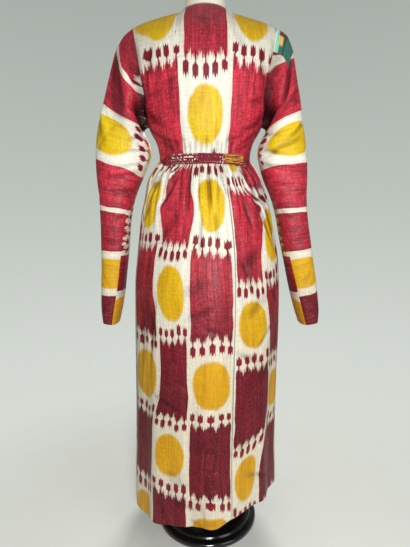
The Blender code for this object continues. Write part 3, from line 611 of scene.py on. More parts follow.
strip = {
    "halfAngle": radians(68), "fadeStart": radians(50), "fadeEnd": radians(74),
    "rise": 0.0112, "drop": 0.0175, "tuck": 0.0008, "base": 0.0018, "ridge": 0.0013, "ridges": 54,
    "columns": 432, "rows": 22, "radius": 0.1, "width": 0.03, "threadGap": 0.0075,
    "red": "#82182A", "darkRed": "#2C0810", "cream": "#EDE3D3", "goldLow": "#5A1A14", "goldHigh": "#DB9A34",
    # metres along the strip from its middle: where each colour starts and is full, and where it fades and ends
    "zones": {
        "pale": (0.013, 0.019, 0.074, 0.082), "dash": (-0.0300, -0.0330, -0.0400, -0.0430),
        "gold": (-0.0415, -0.0435, -0.0930, -0.0960),
    },
}


def stripShare(angle):
    return 1 - smoothStep(strip["fadeStart"], strip["fadeEnd"], abs(angle))


def bodiceFoot(across, side):
    rise = strip["rise"] * stripShare(across * pi / 2) if side > 0 else 0.0
    return bodice["waist"] + rise


def bodiceAcross(share, first):
    # columns gather round the neck point, so the neckline stays round
    neckShare = bodice["neckHalf"] / bodice["shoulderHalf"]
    neckColumns = bodice["neckColumns"]
    reach = abs(share)
    if reach < neckColumns:
        across = neckShare * sin(pi / 2 * reach / neckColumns)
    else:
        across = neckShare + (1 - neckShare) * (reach - neckColumns) / (1 - neckColumns)
    return (1 if share >= 0 else -1) * max(across, first)


bodiceArcs = {}


def bodiceUv(across, down, side, centre, phase):
    b = bodice
    row = (side, round(down, 4))
    if row not in bodiceArcs:
        bodiceArcs[row] = arcLengths(lambda share: bodicePoint(share, down, side), 40)
    height = bodicePoint(across, down, side).z
    worn = lengthAt(bodiceArcs[row], abs(across)) * (1 if across >= 0 else -1)
    loomAcross = worn * readTable(b["ease"], height)
    if side > 0:
        kept = b["kept"] + b["rightKept"] * smoothStep(*b["rightFrom"], height) * (across < 0)
        over = max(0.0, abs(loomAcross) - b["edge"]) * (1 - kept)
        loomAcross -= over if across > 0 else -over
    loomAcross += centre
    if side > 0 and abs(loomAcross - ikat["loom"] / 2) > ikat["pitch"] / 2:
        pinch = b["pinch"] * smoothStep(*b["pinchFrom"], height) * ikat["pitch"] / (2 * pi)
        loomAcross -= pinch * sin(2 * pi * loomAcross / ikat["pitch"])
    return loomAcross, (readTable(b["repeats"], height) + phase) * ikat["repeat"]


def seamShade(nearSeam, height, least, more):
    # painted shade along the armhole seam, deepest towards the underarm
    deeper = smoothStep(*cloth["seamDeepens"], height)
    return nearSeam * smoothStep(*cloth["seamFade"], height) * (least + more * deeper)


def makeBodicePanel(name, side, hand, node):
    first = bodice["opening"] / 2 / bodice["shoulderHalf"] if side < 0 else 0.0

    def acrossOf(share):
        # run so that the outside of the cloth faces away from the body
        if side > 0:
            return bodiceAcross(1 - 2 * share, first)
        return hand * bodiceAcross(share if hand > 0 else 1 - share, first)

    def place(share, down):
        return bodicePoint(acrossOf(share), 2 * down, side)

    def uvOf(share, down, midShare, midDown):
        if side > 0:
            centre = ikat["loom"] / 2 + bodice["centreShift"]
            return bodiceUv(acrossOf(share), 2 * down, 1, centre, bodice["backPhase"])
        return bodiceUv(abs(acrossOf(share)), 2 * down, -1, 0.0, bodice["frontPhase"])

    def creases(share, down):
        across = acrossOf(share)
        point = place(share, down)
        ripple = cloth["ripple"] * noise.noise(point * cloth["bodiceRipples"])
        if side > 0:
            return creaseDepth(bodice["backCreases"], across * bodice["creaseHalf"], point.z) + ripple
        return creaseDepth(bodice["frontCreases"], abs(across) * bodice["creaseHalf"], point.z) + ripple

    def paintedShadeAt(share, down):
        # painted shade along the armhole seam, and in the corner over the end of the waist strip
        across = acrossOf(share)
        height = place(share, down).z
        seam = seamShade(smoothStep(0.88, 0.985, abs(across)), height, 0.75, 0.60)
        corner = smoothStep(*bodice["cornerAcross"], abs(across)) * smoothStep(*bodice["cornerHeights"], height)
        return max(seam, corner * bodice["cornerRight" if across < 0 else "cornerLeft"])

    columns = bodice["columns"] if side > 0 else bodice["columns"] // 2
    piece = wornPanel(name, columns, bodice["rows"], place, uvOf, creases, paintedShadeAt)
    return finished(piece, bodiceAdras, "ikat_cloth", node)


backPanel = makeBodicePanel("bodiceBackCloth", 1, 1, "bodice_back")
frontLeft = makeBodicePanel("bodiceFrontLeftCloth", -1, 1, "bodice_front_left")
frontRight = makeBodicePanel("bodiceFrontRightCloth", -1, -1, "bodice_front_right")
print("bodice made")

sleeves = {
    "columns": 150, "rows": 230, "squareness": 2.7, "squareFrom": (2, 8), "halfDepth": 0.06, "creaseRings": 0.55,
    "radius": 0.06,
    # ring, angle, spread, depth, of the elbow's three creases
    "elbow": ((4.6, 2.55, 0.55, 0.0050), (5.7, 2.35, 0.50, 0.0045), (6.7, 2.70, 0.55, 0.0040)),
    # metres of loom width down the arm, share of its own length that the cloth keeps past the inner angle
    "innerAngle": radians(95),
    "eased": (
        (-0.20, 0.30), (0.1076, 0.30), (0.1090, 0.95), (0.2160, 0.95), (0.2174, 0.35), (0.3243, 0.35),
        (0.3257, 1.0), (0.70, 1.0),
    ),
}

leftSleeve = {
    "hand": 1, "node": "sleeve_left",
    # outer x, outer z, inner x, inner z, half depth, centre y, from armhole to cuff
    "rings": (
        (0.2190, 1.352, 0.1680, 1.1250, 0.055, 0.002), (0.2390, 1.315, 0.1720, 1.1180, 0.060, 0.004),
        (0.2530, 1.262, 0.1700, 1.1090, 0.064, 0.007), (0.2700, 1.195, 0.1630, 1.0960, 0.067, 0.010),
        (0.2850, 1.135, 0.1560, 1.0780, 0.066, 0.014), (0.2925, 1.082, 0.1530, 1.0560, 0.063, 0.018),
        (0.2935, 1.032, 0.1600, 1.0300, 0.059, 0.020), (0.2915, 0.986, 0.1770, 0.9920, 0.056, 0.020),
        (0.2870, 0.936, 0.1970, 0.9430, 0.053, 0.020), (0.2860, 0.880, 0.2100, 0.8860, 0.051, 0.020),
        (0.2860, 0.800, 0.2180, 0.8060, 0.050, 0.020), (0.2880, 0.712, 0.2280, 0.7150, 0.049, 0.020),
        (0.2895, 0.644, 0.2400, 0.6420, 0.048, 0.020), (0.2860, 0.604, 0.2500, 0.5980, 0.047, 0.020),
    ),
    # height, metres of loom width down the arm, on its outer and inner edges
    "outerBands": (
        (0.599, 0.627), (0.685, 0.5417), (0.794, 0.4333), (0.916, 0.325), (1.048, 0.2167), (1.178, 0.1083),
        (1.335, 0.0),
    ),
    "innerBands": (
        (0.599, 0.627), (0.685, 0.5417), (0.7915, 0.4333), (0.899, 0.325), (1.000, 0.2167), (1.114, 0.1083),
        (1.180, 0.0),
    ),
    # ring, degrees round the arm from its outer edge, of the long seam
    "seam": ((-1, 175), (6, 168), (8, 150), (10, 127), (12, 114), (14, 110)),
    "ovalAngles": (46.0, 66.0, 88.0),
    # height, metres of cloth turned into the long seam
    "lap": (
        (0.59, 0.010), (0.685, 0.012), (0.700, 0.045), (0.785, 0.045), (0.800, 0.082), (0.90, 0.082),
        (0.92, 0.125), (1.00, 0.125), (1.03, 0.090), (1.30, 0.090),
    ),
    # metres round the arm from its outer edge, height, metres, height, width, depth
    "creases": (
        (0.056, 1.315, 0.150, 1.125, 0.024, 0.0090), (0.036, 1.300, 0.100, 1.120, 0.028, -0.0095),
        (0.078, 1.290, 0.170, 1.105, 0.014, -0.0100), (0.060, 1.340, 0.110, 1.205, 0.010, -0.0055),
        (0.100, 1.300, 0.125, 1.230, 0.008, -0.0036), (0.110, 1.180, 0.185, 1.112, 0.016, -0.0090),
        (0.010, 1.170, 0.052, 1.085, 0.012, -0.0032), (0.030, 1.170, 0.075, 1.080, 0.014, 0.0050),
        (0.085, 1.118, 0.035, 1.052, 0.010, -0.0020),
        (0.160, 1.100, 0.110, 1.080, 0.008, -0.0034), (0.165, 1.060, 0.100, 1.052, 0.007, -0.0034),
        (0.170, 1.030, 0.080, 1.010, 0.008, -0.0030), (0.165, 1.000, 0.050, 0.985, 0.008, -0.0026),
        (0.160, 0.955, 0.070, 0.950, 0.009, -0.0028), (0.050, 0.985, 0.020, 0.940, 0.012, -0.0022),
        (0.150, 0.900, 0.090, 0.870, 0.010, -0.0020), (0.060, 0.830, 0.120, 0.815, 0.010, -0.0018),
        (0.050, 0.740, 0.100, 0.700, 0.012, -0.0018), (0.110, 0.660, 0.060, 0.645, 0.010, -0.0018),
        (0.276, 1.220, 0.204, 1.090, 0.020, -0.0050), (0.300, 1.150, 0.215, 1.060, 0.012, -0.0040),
        (0.294, 1.030, 0.216, 0.990, 0.010, -0.0030), (0.264, 0.930, 0.210, 0.900, 0.010, -0.0026),
        (0.250, 0.820, 0.300, 0.760, 0.012, -0.0020),
    ),
}

rightSleeve = {
    "hand": -1, "node": "sleeve_right",
    "rings": (
        (0.2070, 1.352, 0.1560, 1.1250, 0.055, 0.004), (0.2190, 1.315, 0.1580, 1.1170, 0.060, 0.010),
        (0.2280, 1.262, 0.1540, 1.1080, 0.064, 0.018), (0.2370, 1.195, 0.1450, 1.0940, 0.066, 0.028),
        (0.2430, 1.138, 0.1370, 1.0760, 0.065, 0.038), (0.2490, 1.085, 0.1320, 1.0560, 0.062, 0.046),
        (0.2540, 1.034, 0.1340, 1.0320, 0.058, 0.052), (0.2550, 0.988, 0.1460, 0.9900, 0.054, 0.054),
        (0.2540, 0.938, 0.1670, 0.9430, 0.052, 0.054), (0.2600, 0.880, 0.1830, 0.8860, 0.050, 0.053),
        (0.2730, 0.802, 0.1990, 0.8080, 0.049, 0.051), (0.2870, 0.722, 0.2180, 0.7260, 0.048, 0.049),
        (0.2970, 0.650, 0.2370, 0.6500, 0.047, 0.047), (0.2960, 0.612, 0.2520, 0.6040, 0.046, 0.046),
    ),
    "outerBands": (
        (0.6146, 0.62), (0.701, 0.5417), (0.804, 0.4333), (0.908, 0.325), (1.032, 0.2167), (1.150, 0.1083),
        (1.298, 0.0),
    ),
    "innerBands": (
        (0.5955, 0.62), (0.684, 0.5417), (0.791, 0.4333), (0.9015, 0.325), (1.014, 0.2167), (1.102, 0.1083),
        (1.205, 0.0), (1.2228, -0.0187), (1.2950, -0.0235), (1.350, -0.1400),
    ),
    "seam": ((-1, 175), (6, 168), (8, 150), (10, 132), (12, 122), (14, 118)),
    "ovalAngles": (46.0, 75.0, 90.0),
    "lap": (
        (0.59, 0.010), (0.685, 0.012), (0.700, 0.045), (0.785, 0.045), (0.800, 0.102), (0.90, 0.102),
        (0.92, 0.125), (1.00, 0.125), (1.03, 0.090), (1.30, 0.090),
    ),
    "creases": (
        (0.050, 1.285, 0.104, 1.165, 0.014, -0.0090), (0.074, 1.280, 0.145, 1.140, 0.020, 0.0075),
        (0.098, 1.275, 0.170, 1.120, 0.012, -0.0090), (0.030, 1.230, 0.070, 1.150, 0.016, -0.0034),
        (0.050, 1.200, 0.120, 1.130, 0.012, -0.0030), (0.120, 1.170, 0.185, 1.102, 0.016, -0.0090),
        (0.020, 1.130, 0.100, 1.070, 0.010, -0.0036), (0.040, 1.090, 0.140, 1.040, 0.010, -0.0036),
        (0.160, 1.095, 0.100, 1.085, 0.008, -0.0034), (0.165, 1.055, 0.090, 1.040, 0.008, -0.0034),
        (0.170, 1.020, 0.060, 1.000, 0.009, -0.0030), (0.165, 0.975, 0.080, 0.965, 0.008, -0.0026),
        (0.030, 0.960, 0.090, 0.930, 0.012, -0.0022), (0.150, 0.905, 0.100, 0.880, 0.010, -0.0020),
        (0.050, 0.850, 0.110, 0.825, 0.010, -0.0018), (0.060, 0.750, 0.110, 0.715, 0.012, -0.0018),
        (0.100, 0.670, 0.050, 0.655, 0.010, -0.0018),
        (0.276, 1.210, 0.204, 1.095, 0.020, -0.0050), (0.290, 1.140, 0.210, 1.050, 0.012, -0.0040),
        (0.288, 1.020, 0.216, 0.985, 0.010, -0.0030), (0.270, 0.910, 0.216, 0.880, 0.010, -0.0026),
        (0.240, 0.800, 0.300, 0.750, 0.012, -0.0020),
    ),
}


def roundedCos(angle, squareness):
    value = cos(angle)
    return (1 if value >= 0 else -1) * abs(value) ** (2 / squareness)


def sleeveRingPoint(sleeve, position, angle):
    outerX, outerZ, innerX, innerZ, depth, centreY = rowAt(sleeve["rings"], position)
    outer = Vector((sleeve["hand"] * outerX, centreY, outerZ))
    inner = Vector((sleeve["hand"] * innerX, centreY, innerZ))
    squareness = 2 + (sleeves["squareness"] - 2) * smoothStep(*sleeves["squareFrom"], position)
    pinch = 1.0
    for ring, centre, spread, amount in sleeves["elbow"]:
        along = (position - ring) / sleeves["creaseRings"]
        around = (angle - centre) / spread
        pinch -= amount * max(0.0, 1 - along * along) * max(0.0, 1 - around * around) / sleeves["halfDepth"]
    point = (outer + inner) / 2 + (outer - inner) / 2 * roundedCos(angle, squareness) * pinch
    return point + Vector((0, depth * roundedCos(angle - pi / 2, squareness) * pinch, 0))


def sleevePoint(sleeve, position, angle):
    # angle: 0 at the arm's outer edge, a quarter turn at the back; position -1 is the armhole
    angle = angle % (2 * pi)
    if position >= 0:
        return sleeveRingPoint(sleeve, position, angle)
    armhole = bodicePoint(sleeve["hand"], (1 - cos(angle)) / 2, 1 if angle <= pi else -1)
    first = sleeveRingPoint(sleeve, 0, angle)
    second = sleeveRingPoint(sleeve, 1, angle)
    return curveThrough(armhole, armhole, first, second, position + 1)


def sleeveCrease(sleeve, point, angle):
    ripple = cloth["ripple"] * noise.noise(point * cloth["sleeveRipples"])
    return creaseDepth(sleeve["creases"], (angle % (2 * pi)) * sleeves["radius"], point.z) + ripple


def makeSleeve(name, sleeve):
    hand = sleeve["hand"]
    last = len(sleeve["rings"]) - 1
    arcs = {}

    def positionOf(down):
        return -1 + down * (last + 1)

    def angleOf(share, down):
        start = radians(readTable(sleeve["seam"], positionOf(down)))
        return start - 2 * pi * (1 - share) if hand > 0 else start - 2 * pi * share

    def place(share, down):
        return sleevePoint(sleeve, positionOf(down), angleOf(share, down))

    def innerShare(share, down):
        # 0 at the arm's outer edge, 1 at its inner edge
        return (1 - cos(angleOf(share, down))) / 2

    def bandAt(share, down):
        height = place(share, down).z
        inner = innerShare(share, down)
        return readTable(sleeve["outerBands"], height) * (1 - inner) + readTable(sleeve["innerBands"], height) * inner

    def arcTo(angle, down):
        # length of cloth round the arm from its outer edge; angles may run past a full turn
        row = round(down, 5)
        if row not in arcs:
            nearlyRound = 2 * pi * 0.99999
            arcs[row] = arcLengths(lambda turn: sleevePoint(sleeve, positionOf(down), nearlyRound * turn), 60)
        turns = floor(angle / (2 * pi))
        return turns * arcs[row][-1] + lengthAt(arcs[row], angle / (2 * pi) - turns)

    def uvOf(share, down, midShare, midDown):
        loomIndex = min(max(floor(bandAt(midShare, midDown) / ikat["loom"]), -1), 1)
        ovalAngle = radians(sleeve["ovalAngles"][loomIndex + 1])
        angle = angleOf(share, down)
        height = place(share, down).z
        lap = readTable(sleeve["lap"], height) * smoothStep(0.2, -2.6, angle)
        band = bandAt(share, down)
        inner = sleeves["innerAngle"]
        worn = arcTo(min(angle, inner), down)
        if angle > inner:
            worn += (arcTo(angle, down) - worn) * readTable(sleeves["eased"], band)
        return band, worn - arcTo(ovalAngle, down) - lap + ikat["repeat"] / 2

    def creases(share, down):
        return sleeveCrease(sleeve, place(share, down), angleOf(share, down))

    def paintedShadeAt(share, down):
        # painted shade along the armhole seam and under the arm
        position = positionOf(down)
        seam = seamShade(smoothStep(0.35, -0.60, position), place(share, down).z, 0.70, 0.65)
        underarm = 1.35 * smoothStep(3.4, 0.6, position) * smoothStep(0.55, 0.88, innerShare(share, down))
        return max(seam, underarm)

    piece = wornPanel(name, sleeves["columns"], sleeves["rows"], place, uvOf, creases, paintedShadeAt, True)
    return finished(piece, sleeveAdras, "ikat_cloth", sleeve["node"])


leftSleevePiece = makeSleeve("sleeveLeftCloth", leftSleeve)
rightSleevePiece = makeSleeve("sleeveRightCloth", rightSleeve)
print("sleeves set in")

skirt = {
    "hem": 0.106, "hemTilt": 0.026, "hemLift": 0.032, "gatherDepth": 0.0062, "smallGather": 0.0030,
    "pleatsToGather": 3.0, "foldDepth": 0.0060, "columnWidth": 0.0018, "rows": 184, "radius": 0.2,
    # metres of radius that turn the creases' degrees to metres, and the cloth's unevenness round and down the skirt
    "creaseRadius": 0.19, "ripple": 0.0016, "rippleScales": (9, 3.5),
    # how far down the skirt each gather and each tight pleat reaches: least, and what chance adds
    "gatherReach": (0.07, 0.17), "pleatReach": (0.035, 0.085),
    # height, half width, back, front, centre x
    "sections": (
        (0.030, 0.2032, 0.1944, 0.1914, 0.006), (0.106, 0.2022, 0.1934, 0.1894, 0.006),
        (0.300, 0.1972, 0.1904, 0.1854, 0.006), (0.450, 0.1972, 0.1884, 0.1804, 0.004),
        (0.600, 0.1987, 0.1864, 0.1754, 0.002), (0.710, 0.1982, 0.1814, 0.1664, 0.001),
        (0.770, 0.1937, 0.1734, 0.1584, 0.000), (0.826, 0.1862, 0.1644, 0.1504, 0.001),
        (0.895, 0.1747, 0.1484, 0.1364, 0.004), (0.950, 0.1602, 0.1324, 0.1204, 0.006),
        (0.990, 0.1462, 0.1154, 0.1064, 0.007), (1.018, 0.1302, 0.0974, 0.0914, 0.007),
        (1.036, 0.1207, 0.0884, 0.0834, 0.007),
    ),
    # folds round the body, phase, drift, share
    "folds": ((9, 0.7, 0.0, 0.55), (14, 1.3, 2.1, 0.45)),
    # height, repeats of the pattern down to there
    "repeats": ((0.070, 2.0), (0.2879, 1.5), (0.4744, 1.0), (0.6947, 0.5), (0.915, 0.0), (1.02, -0.245)),
    # height, then degrees round the body where each stripe of the cloth begins, as the gathers and folds leave it
    "stripesLeft": (
        (0.100, 13, 43, 55), (0.165, 13, 43, 55), (0.230, 13, 43, 55), (0.295, 13, 42, 55), (0.360, 13, 42, 54),
        (0.435, 12, 38, 51), (0.504, 13, 36, 49), (0.578, 13, 37, 50), (0.634, 13, 38, 52), (0.711, 14, 41, 58),
        (0.778, 14, 41, 58), (0.837, 12, 38, 58), (0.890, 8, 41, 57), (0.914, 7.5, 42.5, 56), (0.938, 10, 39, 54),
        (0.963, 12, 38, 50), (0.988, 12, 34, 47), (1.010, 12, 27, 42), (1.030, 12, 25, 40),
    ),
    "loomLeft": (0.0, 0.1083, 0.2167, 0.2708, 0.325),
    # height, how far the first stripe is drawn in to its middle
    "pinch": ((0.60, 0.0), (0.72, 0.12), (0.80, 0.28), (0.90, 0.30), (0.96, 0.0), (1.03, 0.0)),
    # height, metres that the middle of the first stripe is drawn over
    "drawn": ((0.60, 0.0), (0.66, 0.0), (0.75, 0.008), (0.92, 0.008), (0.98, 0.0), (1.03, 0.0)),
    "stripesRight": (
        (0.100, -42, -76), (0.204, -42, -76), (0.271, -44.5, -76), (0.329, -51, -79), (0.405, -57, -82),
        (0.497, -56, -82), (0.559, -54, -80), (0.621, -52, -79), (0.705, -46.5, -78), (0.776, -44.5, -78),
        (0.835, -50, -79), (0.890, -56, -82), (0.915, -58, -83), (0.940, -46, -80), (0.964, -40, -78),
        (0.990, -39, -76), (1.011, -41, -75), (1.030, -41, -75),
    ),
    "loomRight": (0.325, 0.2167, 0.1083, 0.0),
    # height, lift of the pattern's rows in metres, away from the centre seam
    "liftLeft": (
        (0.10, 0.012), (0.20, 0.012), (0.30, 0.0), (0.42, 0.002), (0.50, 0.010), (0.60, 0.006), (0.71, 0.008),
        (0.82, 0.013), (0.95, 0.002), (1.03, 0.0),
    ),
    "liftRight": (
        (0.10, 0.018), (0.30, 0.020), (0.37, 0.019), (0.50, 0.002), (0.60, 0.0), (0.70, -0.014), (0.78, -0.008),
        (0.86, 0.0), (1.03, 0.0),
    ),
    "dropRight": (
        (0.10, 0.0), (0.20, 0.002), (0.30, 0.012), (0.38, 0.016), (0.48, 0.002), (0.60, 0.0), (0.70, 0.014),
        (0.78, 0.008), (0.86, 0.0), (1.03, 0.0),
    ),
    # degrees round the body, height, degrees, height, width, depth
    "creases": (
        (18, 0.700, -2, 0.735, 0.022, -0.0030), (-24, 0.760, -48, 0.815, 0.024, -0.0034),
        (-30, 0.640, -52, 0.700, 0.022, -0.0030), (40, 0.820, 22, 0.905, 0.020, -0.0030),
        (52, 0.700, 40, 0.560, 0.020, -0.0026), (10, 0.330, -10, 0.300, 0.022, -0.0022),
        (8, 0.118, -14, 0.116, 0.009, -0.0022), (32, 0.240, 12, 0.215, 0.020, -0.0020),
        (-38, 0.480, -60, 0.510, 0.022, -0.0024), (150, 0.760, 128, 0.700, 0.024, -0.0030),
        (165, 0.520, 140, 0.500, 0.022, -0.0024), (-150, 0.740, -128, 0.690, 0.024, -0.0030),
        (110, 0.330, 90, 0.300, 0.022, -0.0022), (-120, 0.420, -100, 0.400, 0.022, -0.0022),
        # long folds running down from the strip
        (24, 0.995, 43, 0.900, 0.010, -0.0050), (14, 1.000, 16, 0.890, 0.009, -0.0042),
        (-3, 1.000, -4, 0.900, 0.009, -0.0050), (-14, 1.005, -20, 0.930, 0.008, -0.0040),
        (-38, 1.030, -64, 0.820, 0.015, -0.0100), (-50, 1.040, -76, 0.780, 0.015, -0.0110),
        (-64, 1.010, -86, 0.660, 0.014, -0.0090), (44, 1.030, 66, 0.860, 0.013, -0.0090),
        (56, 1.030, 76, 0.830, 0.013, -0.0100), (-33, 0.930, -40, 0.850, 0.010, -0.0036),
        (6, 0.800, 4, 0.900, 0.008, -0.0034), (-8, 0.830, -7, 0.905, 0.008, -0.0030),
        # rumples lower down
        (40, 0.690, 48, 0.480, 0.012, -0.0034), (56, 0.640, 60, 0.460, 0.012, -0.0034),
        (16, 0.640, -4, 0.665, 0.012, -0.0036), (2, 0.620, -14, 0.600, 0.009, -0.0024),
        (-22, 0.555, -44, 0.520, 0.012, -0.0036), (-40, 0.560, -56, 0.610, 0.010, -0.0036),
        (34, 0.475, 12, 0.455, 0.014, 0.0036), (44, 0.440, 20, 0.412, 0.010, -0.0034),
        (-26, 0.780, -34, 0.700, 0.010, -0.0030), (-50, 0.760, -64, 0.660, 0.012, -0.0036),
        (24, 0.170, 8, 0.150, 0.012, -0.0030), (36, 0.165, 30, 0.100, 0.009, -0.0036),
        (12, 0.122, -2, 0.100, 0.007, -0.0030), (-30, 0.230, -56, 0.205, 0.012, -0.0030),
        (-20, 0.300, -46, 0.330, 0.012, -0.0026), (6, 0.200, 0, 0.110, 0.010, -0.0024),
        (120, 0.980, 104, 0.820, 0.012, -0.0060), (150, 0.985, 142, 0.860, 0.010, -0.0050),
        (-126, 0.980, -112, 0.830, 0.012, -0.0060), (-150, 0.985, -156, 0.860, 0.010, -0.0050),
        (132, 0.420, 112, 0.380, 0.012, -0.0030), (-140, 0.300, -160, 0.260, 0.012, -0.0030),
    ),
}

# name, start and end in degrees round the body, gathers, pattern's step in repeats, drop in metres, node
skirtPanels = (
    ("skirtBackLeftCloth", -20.0, 73.0, 11, 0.0, 0.0, "skirt_back_left"),
    ("skirtFrontLeftCloth", 73.0, 178.6, 9, 0.27, 0.0, "skirt_front_left"),
    ("skirtFrontRightCloth", -178.6, -110.0, 6, 0.27, 0.0, "skirt_front_right"),
    ("skirtBackRightCloth", -110.0, -20.0, 10, 0.5, 0.067, "skirt_back_right"),
)


def skirtHead(angle):
    return bodice["waist"] - strip["drop"] * stripShare(angle)


def hemHeight(angle):
    # lower at the left side and higher at the right
    left = sin(angle)
    lifted = smoothStep(0.1, 0.65, -left)
    return skirt["hem"] - skirt["hemTilt"] * smoothStep(0.1, 1.0, left) + skirt["hemLift"] * lifted


def scatter(index):
    # a fixed number from 0 to 1 for each gather, pleat or stitch
    value = sin(index * 12.9898 + 4.1) * 43758.5453
    return value - floor(value)


def stripesAt(table, height):
    # degrees round the body where the stripes begin at this height
    heights = [row[0] for row in table]
    low = 0
    while low < len(table) - 2 and height > heights[low + 1]:
        low += 1
    share = (height - heights[low]) / (heights[low + 1] - heights[low])
    return rowAt([row[1:] for row in table], low + min(1.0, max(0.0, share)))


def gathersAt(turns):
    # turns counts gathers. For the gather here, and for the tight pleat inside it: its number, the share across
    # it, and the share of the skirt's drop that it reaches down
    pleat = turns * skirt["pleatsToGather"] + 0.25 * sin(turns * 5.1)
    index, pleatIndex = floor(turns), floor(pleat)
    least, more = skirt["gatherReach"]
    pleatLeast, pleatMore = skirt["pleatReach"]
    return (
        (index, turns - index, least + more * scatter(index)),
        (pleatIndex, pleat - pleatIndex, pleatLeast + pleatMore * scatter(pleatIndex + 90)),
    )


def gatherLift(turns, down):
    # each gather is round on top, sharp in its valley and dies out at its own length; so does each pleat
    (index, across, length), (pleatIndex, pleatAcross, reach) = gathersAt(turns)
    crest = (1 - cos(2 * pi * across)) / 2
    fade = (0.35 + 0.65 * smoothStep(0.0, 0.03, down)) * (1 - smoothStep(0.35 * length, length, down))
    small = (1 - abs(cos(pi * pleatAcross))) * (1 - smoothStep(0.3 * reach, reach, down))
    small *= 0.5 + 0.5 * scatter(pleatIndex + 7)
    depth = skirt["gatherDepth"] * (0.62 + 0.38 * scatter(index + 40))
    return depth * crest**0.65 * fade + skirt["smallGather"] * small


def gatherShade(turns, down):
    # painted shade: 0 on a gather's crest, 1 in the valley between two, fading down the skirt
    (index, across, length), (pleatIndex, pleatAcross, reach) = gathersAt(turns)
    valley = ((1 + cos(2 * pi * across)) / 2) ** 5 * (1 - smoothStep(0.3 * length, 0.9 * length, down))
    line = abs(cos(pi * pleatAcross)) ** 6 * (1 - smoothStep(0.2 * reach, reach, down))
    return max(valley, line * (0.45 + 0.55 * scatter(pleatIndex + 7)))


def skirtPoint(angle, down, turns):
    # broad folds grow down the skirt from nothing at the waist; the gathers run the other way
    head = skirtHead(angle)
    height = head + (hemHeight(angle) - head) * down
    halfWidth, back, front, centreX = sectionAt(skirt["sections"], height)
    depth = back if cos(angle) > 0 else front
    wave = sum(s * cos(n * angle + phase + drift * sin(angle)) for n, phase, drift, s in skirt["folds"])
    grow = skirt["foldDepth"] * wave * smoothStep(0.1, 1.0, down) + gatherLift(turns, down)
    return Vector(((halfWidth + grow) * sin(angle) + centreX, (depth + grow) * cos(angle), height))


def loomLeft(start, end, degreesRound, height):
    # loom metres across the left back panel, and the lift of its rows
    stripes = [start] + stripesAt(skirt["stripesLeft"], height) + [end]
    loomAcross = readTable(list(zip(stripes, skirt["loomLeft"])), degreesRound)
    if loomAcross < ikat["pitch"]:
        pinch = readTable(skirt["pinch"], height) * ikat["pitch"] / (2 * pi)
        loomAcross -= pinch * sin(2 * pi * loomAcross / ikat["pitch"])
        loomAcross -= readTable(skirt["drawn"], height) * sin(pi * loomAcross / ikat["pitch"])
    return loomAcross, -readTable(skirt["liftLeft"], height) * smoothStep(2, 34, degreesRound)


def loomRight(start, end, degreesRound, height):
    # the same for the right back panel, counted from the centre seam
    stripes = [end] + stripesAt(skirt["stripesRight"], height) + [start]
    loomAcross = readTable(list(zip([-a for a in stripes], skirt["loomRight"])), -degreesRound)
    away = min(1.2, (end - degreesRound) / 32)
    return loomAcross, readTable(skirt["dropRight"], height) * (1 - away) - readTable(skirt["liftRight"], height) * away


def makeSkirtPanel(name, start, end, gathers, step, drop, node, order):
    creaseTable = [
        (radians(a) * skirt["creaseRadius"], h, radians(b) * skirt["creaseRadius"], g, w, d)
        for a, h, b, g, w, d in skirt["creases"]
    ]

    def angleOf(share):
        return radians(end) + (radians(start) - radians(end)) * share

    def turnsOf(share):
        # the number of the gather, different on each panel
        return gathers * (1 - share) + 20 * order

    def place(share, down):
        return skirtPoint(angleOf(share), down, turnsOf(share))

    def uvOf(share, down, midShare, midDown):
        angle = angleOf(share)
        head = skirtHead(angle)
        height = head + (hemHeight(angle) - head) * down
        lift = 0.0
        if node == "skirt_back_left":
            loomAcross, lift = loomLeft(start, end, angle * 180 / pi, height)
        elif node == "skirt_back_right":
            loomAcross, lift = loomRight(start, end, angle * 180 / pi, height)
        else:
            loomAcross = ikat["loom"] * min(1.0, radians(end - start) / radians(90)) * (1 - share)
        return loomAcross, (readTable(skirt["repeats"], height + drop + lift) + step) * ikat["repeat"]

    def creases(share, down):
        angle = angleOf(share)
        height = place(share, down).z
        aroundScale, heightScale = skirt["rippleScales"]
        ripple = skirt["ripple"] * noise.noise(Vector((angle * aroundScale, height * heightScale, order)))
        return creaseDepth(creaseTable, angle * skirt["creaseRadius"], height) + ripple

    # painted shade in the valleys between the gathers
    def paintedShadeAt(share, down):
        return gatherShade(turnsOf(share), down)

    columns = int(radians(end - start) * skirt["radius"] / skirt["columnWidth"])
    piece = wornPanel(name, columns, skirt["rows"], place, uvOf, creases, paintedShadeAt)
    return finished(piece, skirtAdras, "ikat_cloth", node)


for order, panel in enumerate(skirtPanels):
    piece = makeSkirtPanel(*panel, order)
print("skirt gathered on")


def stripPoint(share, down):
    angle = strip["halfAngle"] * (1 - 2 * share)
    cover = stripShare(angle)
    top = bodice["waist"] + strip["rise"] * cover - strip["tuck"]
    foot = bodice["waist"] - strip["drop"] * cover
    height = top + (foot - top) * down
    halfWidth, back, front = sectionAt(bodice["sections"], height)
    return Vector((halfWidth * sin(angle) + leanAt(height), back * cos(angle), height))


def stripLift(share, down):
    turns = share * strip["ridges"] + 0.8 * noise.noise(Vector((share * 17, down * 1.5, 0)))
    ridge = (1 + cos(2 * pi * turns)) / 2
    stitched = cos(pi * 3 * down) ** 8
    return strip["base"] + strip["ridge"] * ridge * (1 - 0.7 * stitched)


def stripUv(share, down, midShare, midDown):
    return strip["halfAngle"] * (1 - 2 * share) * strip["radius"], down * strip["width"]


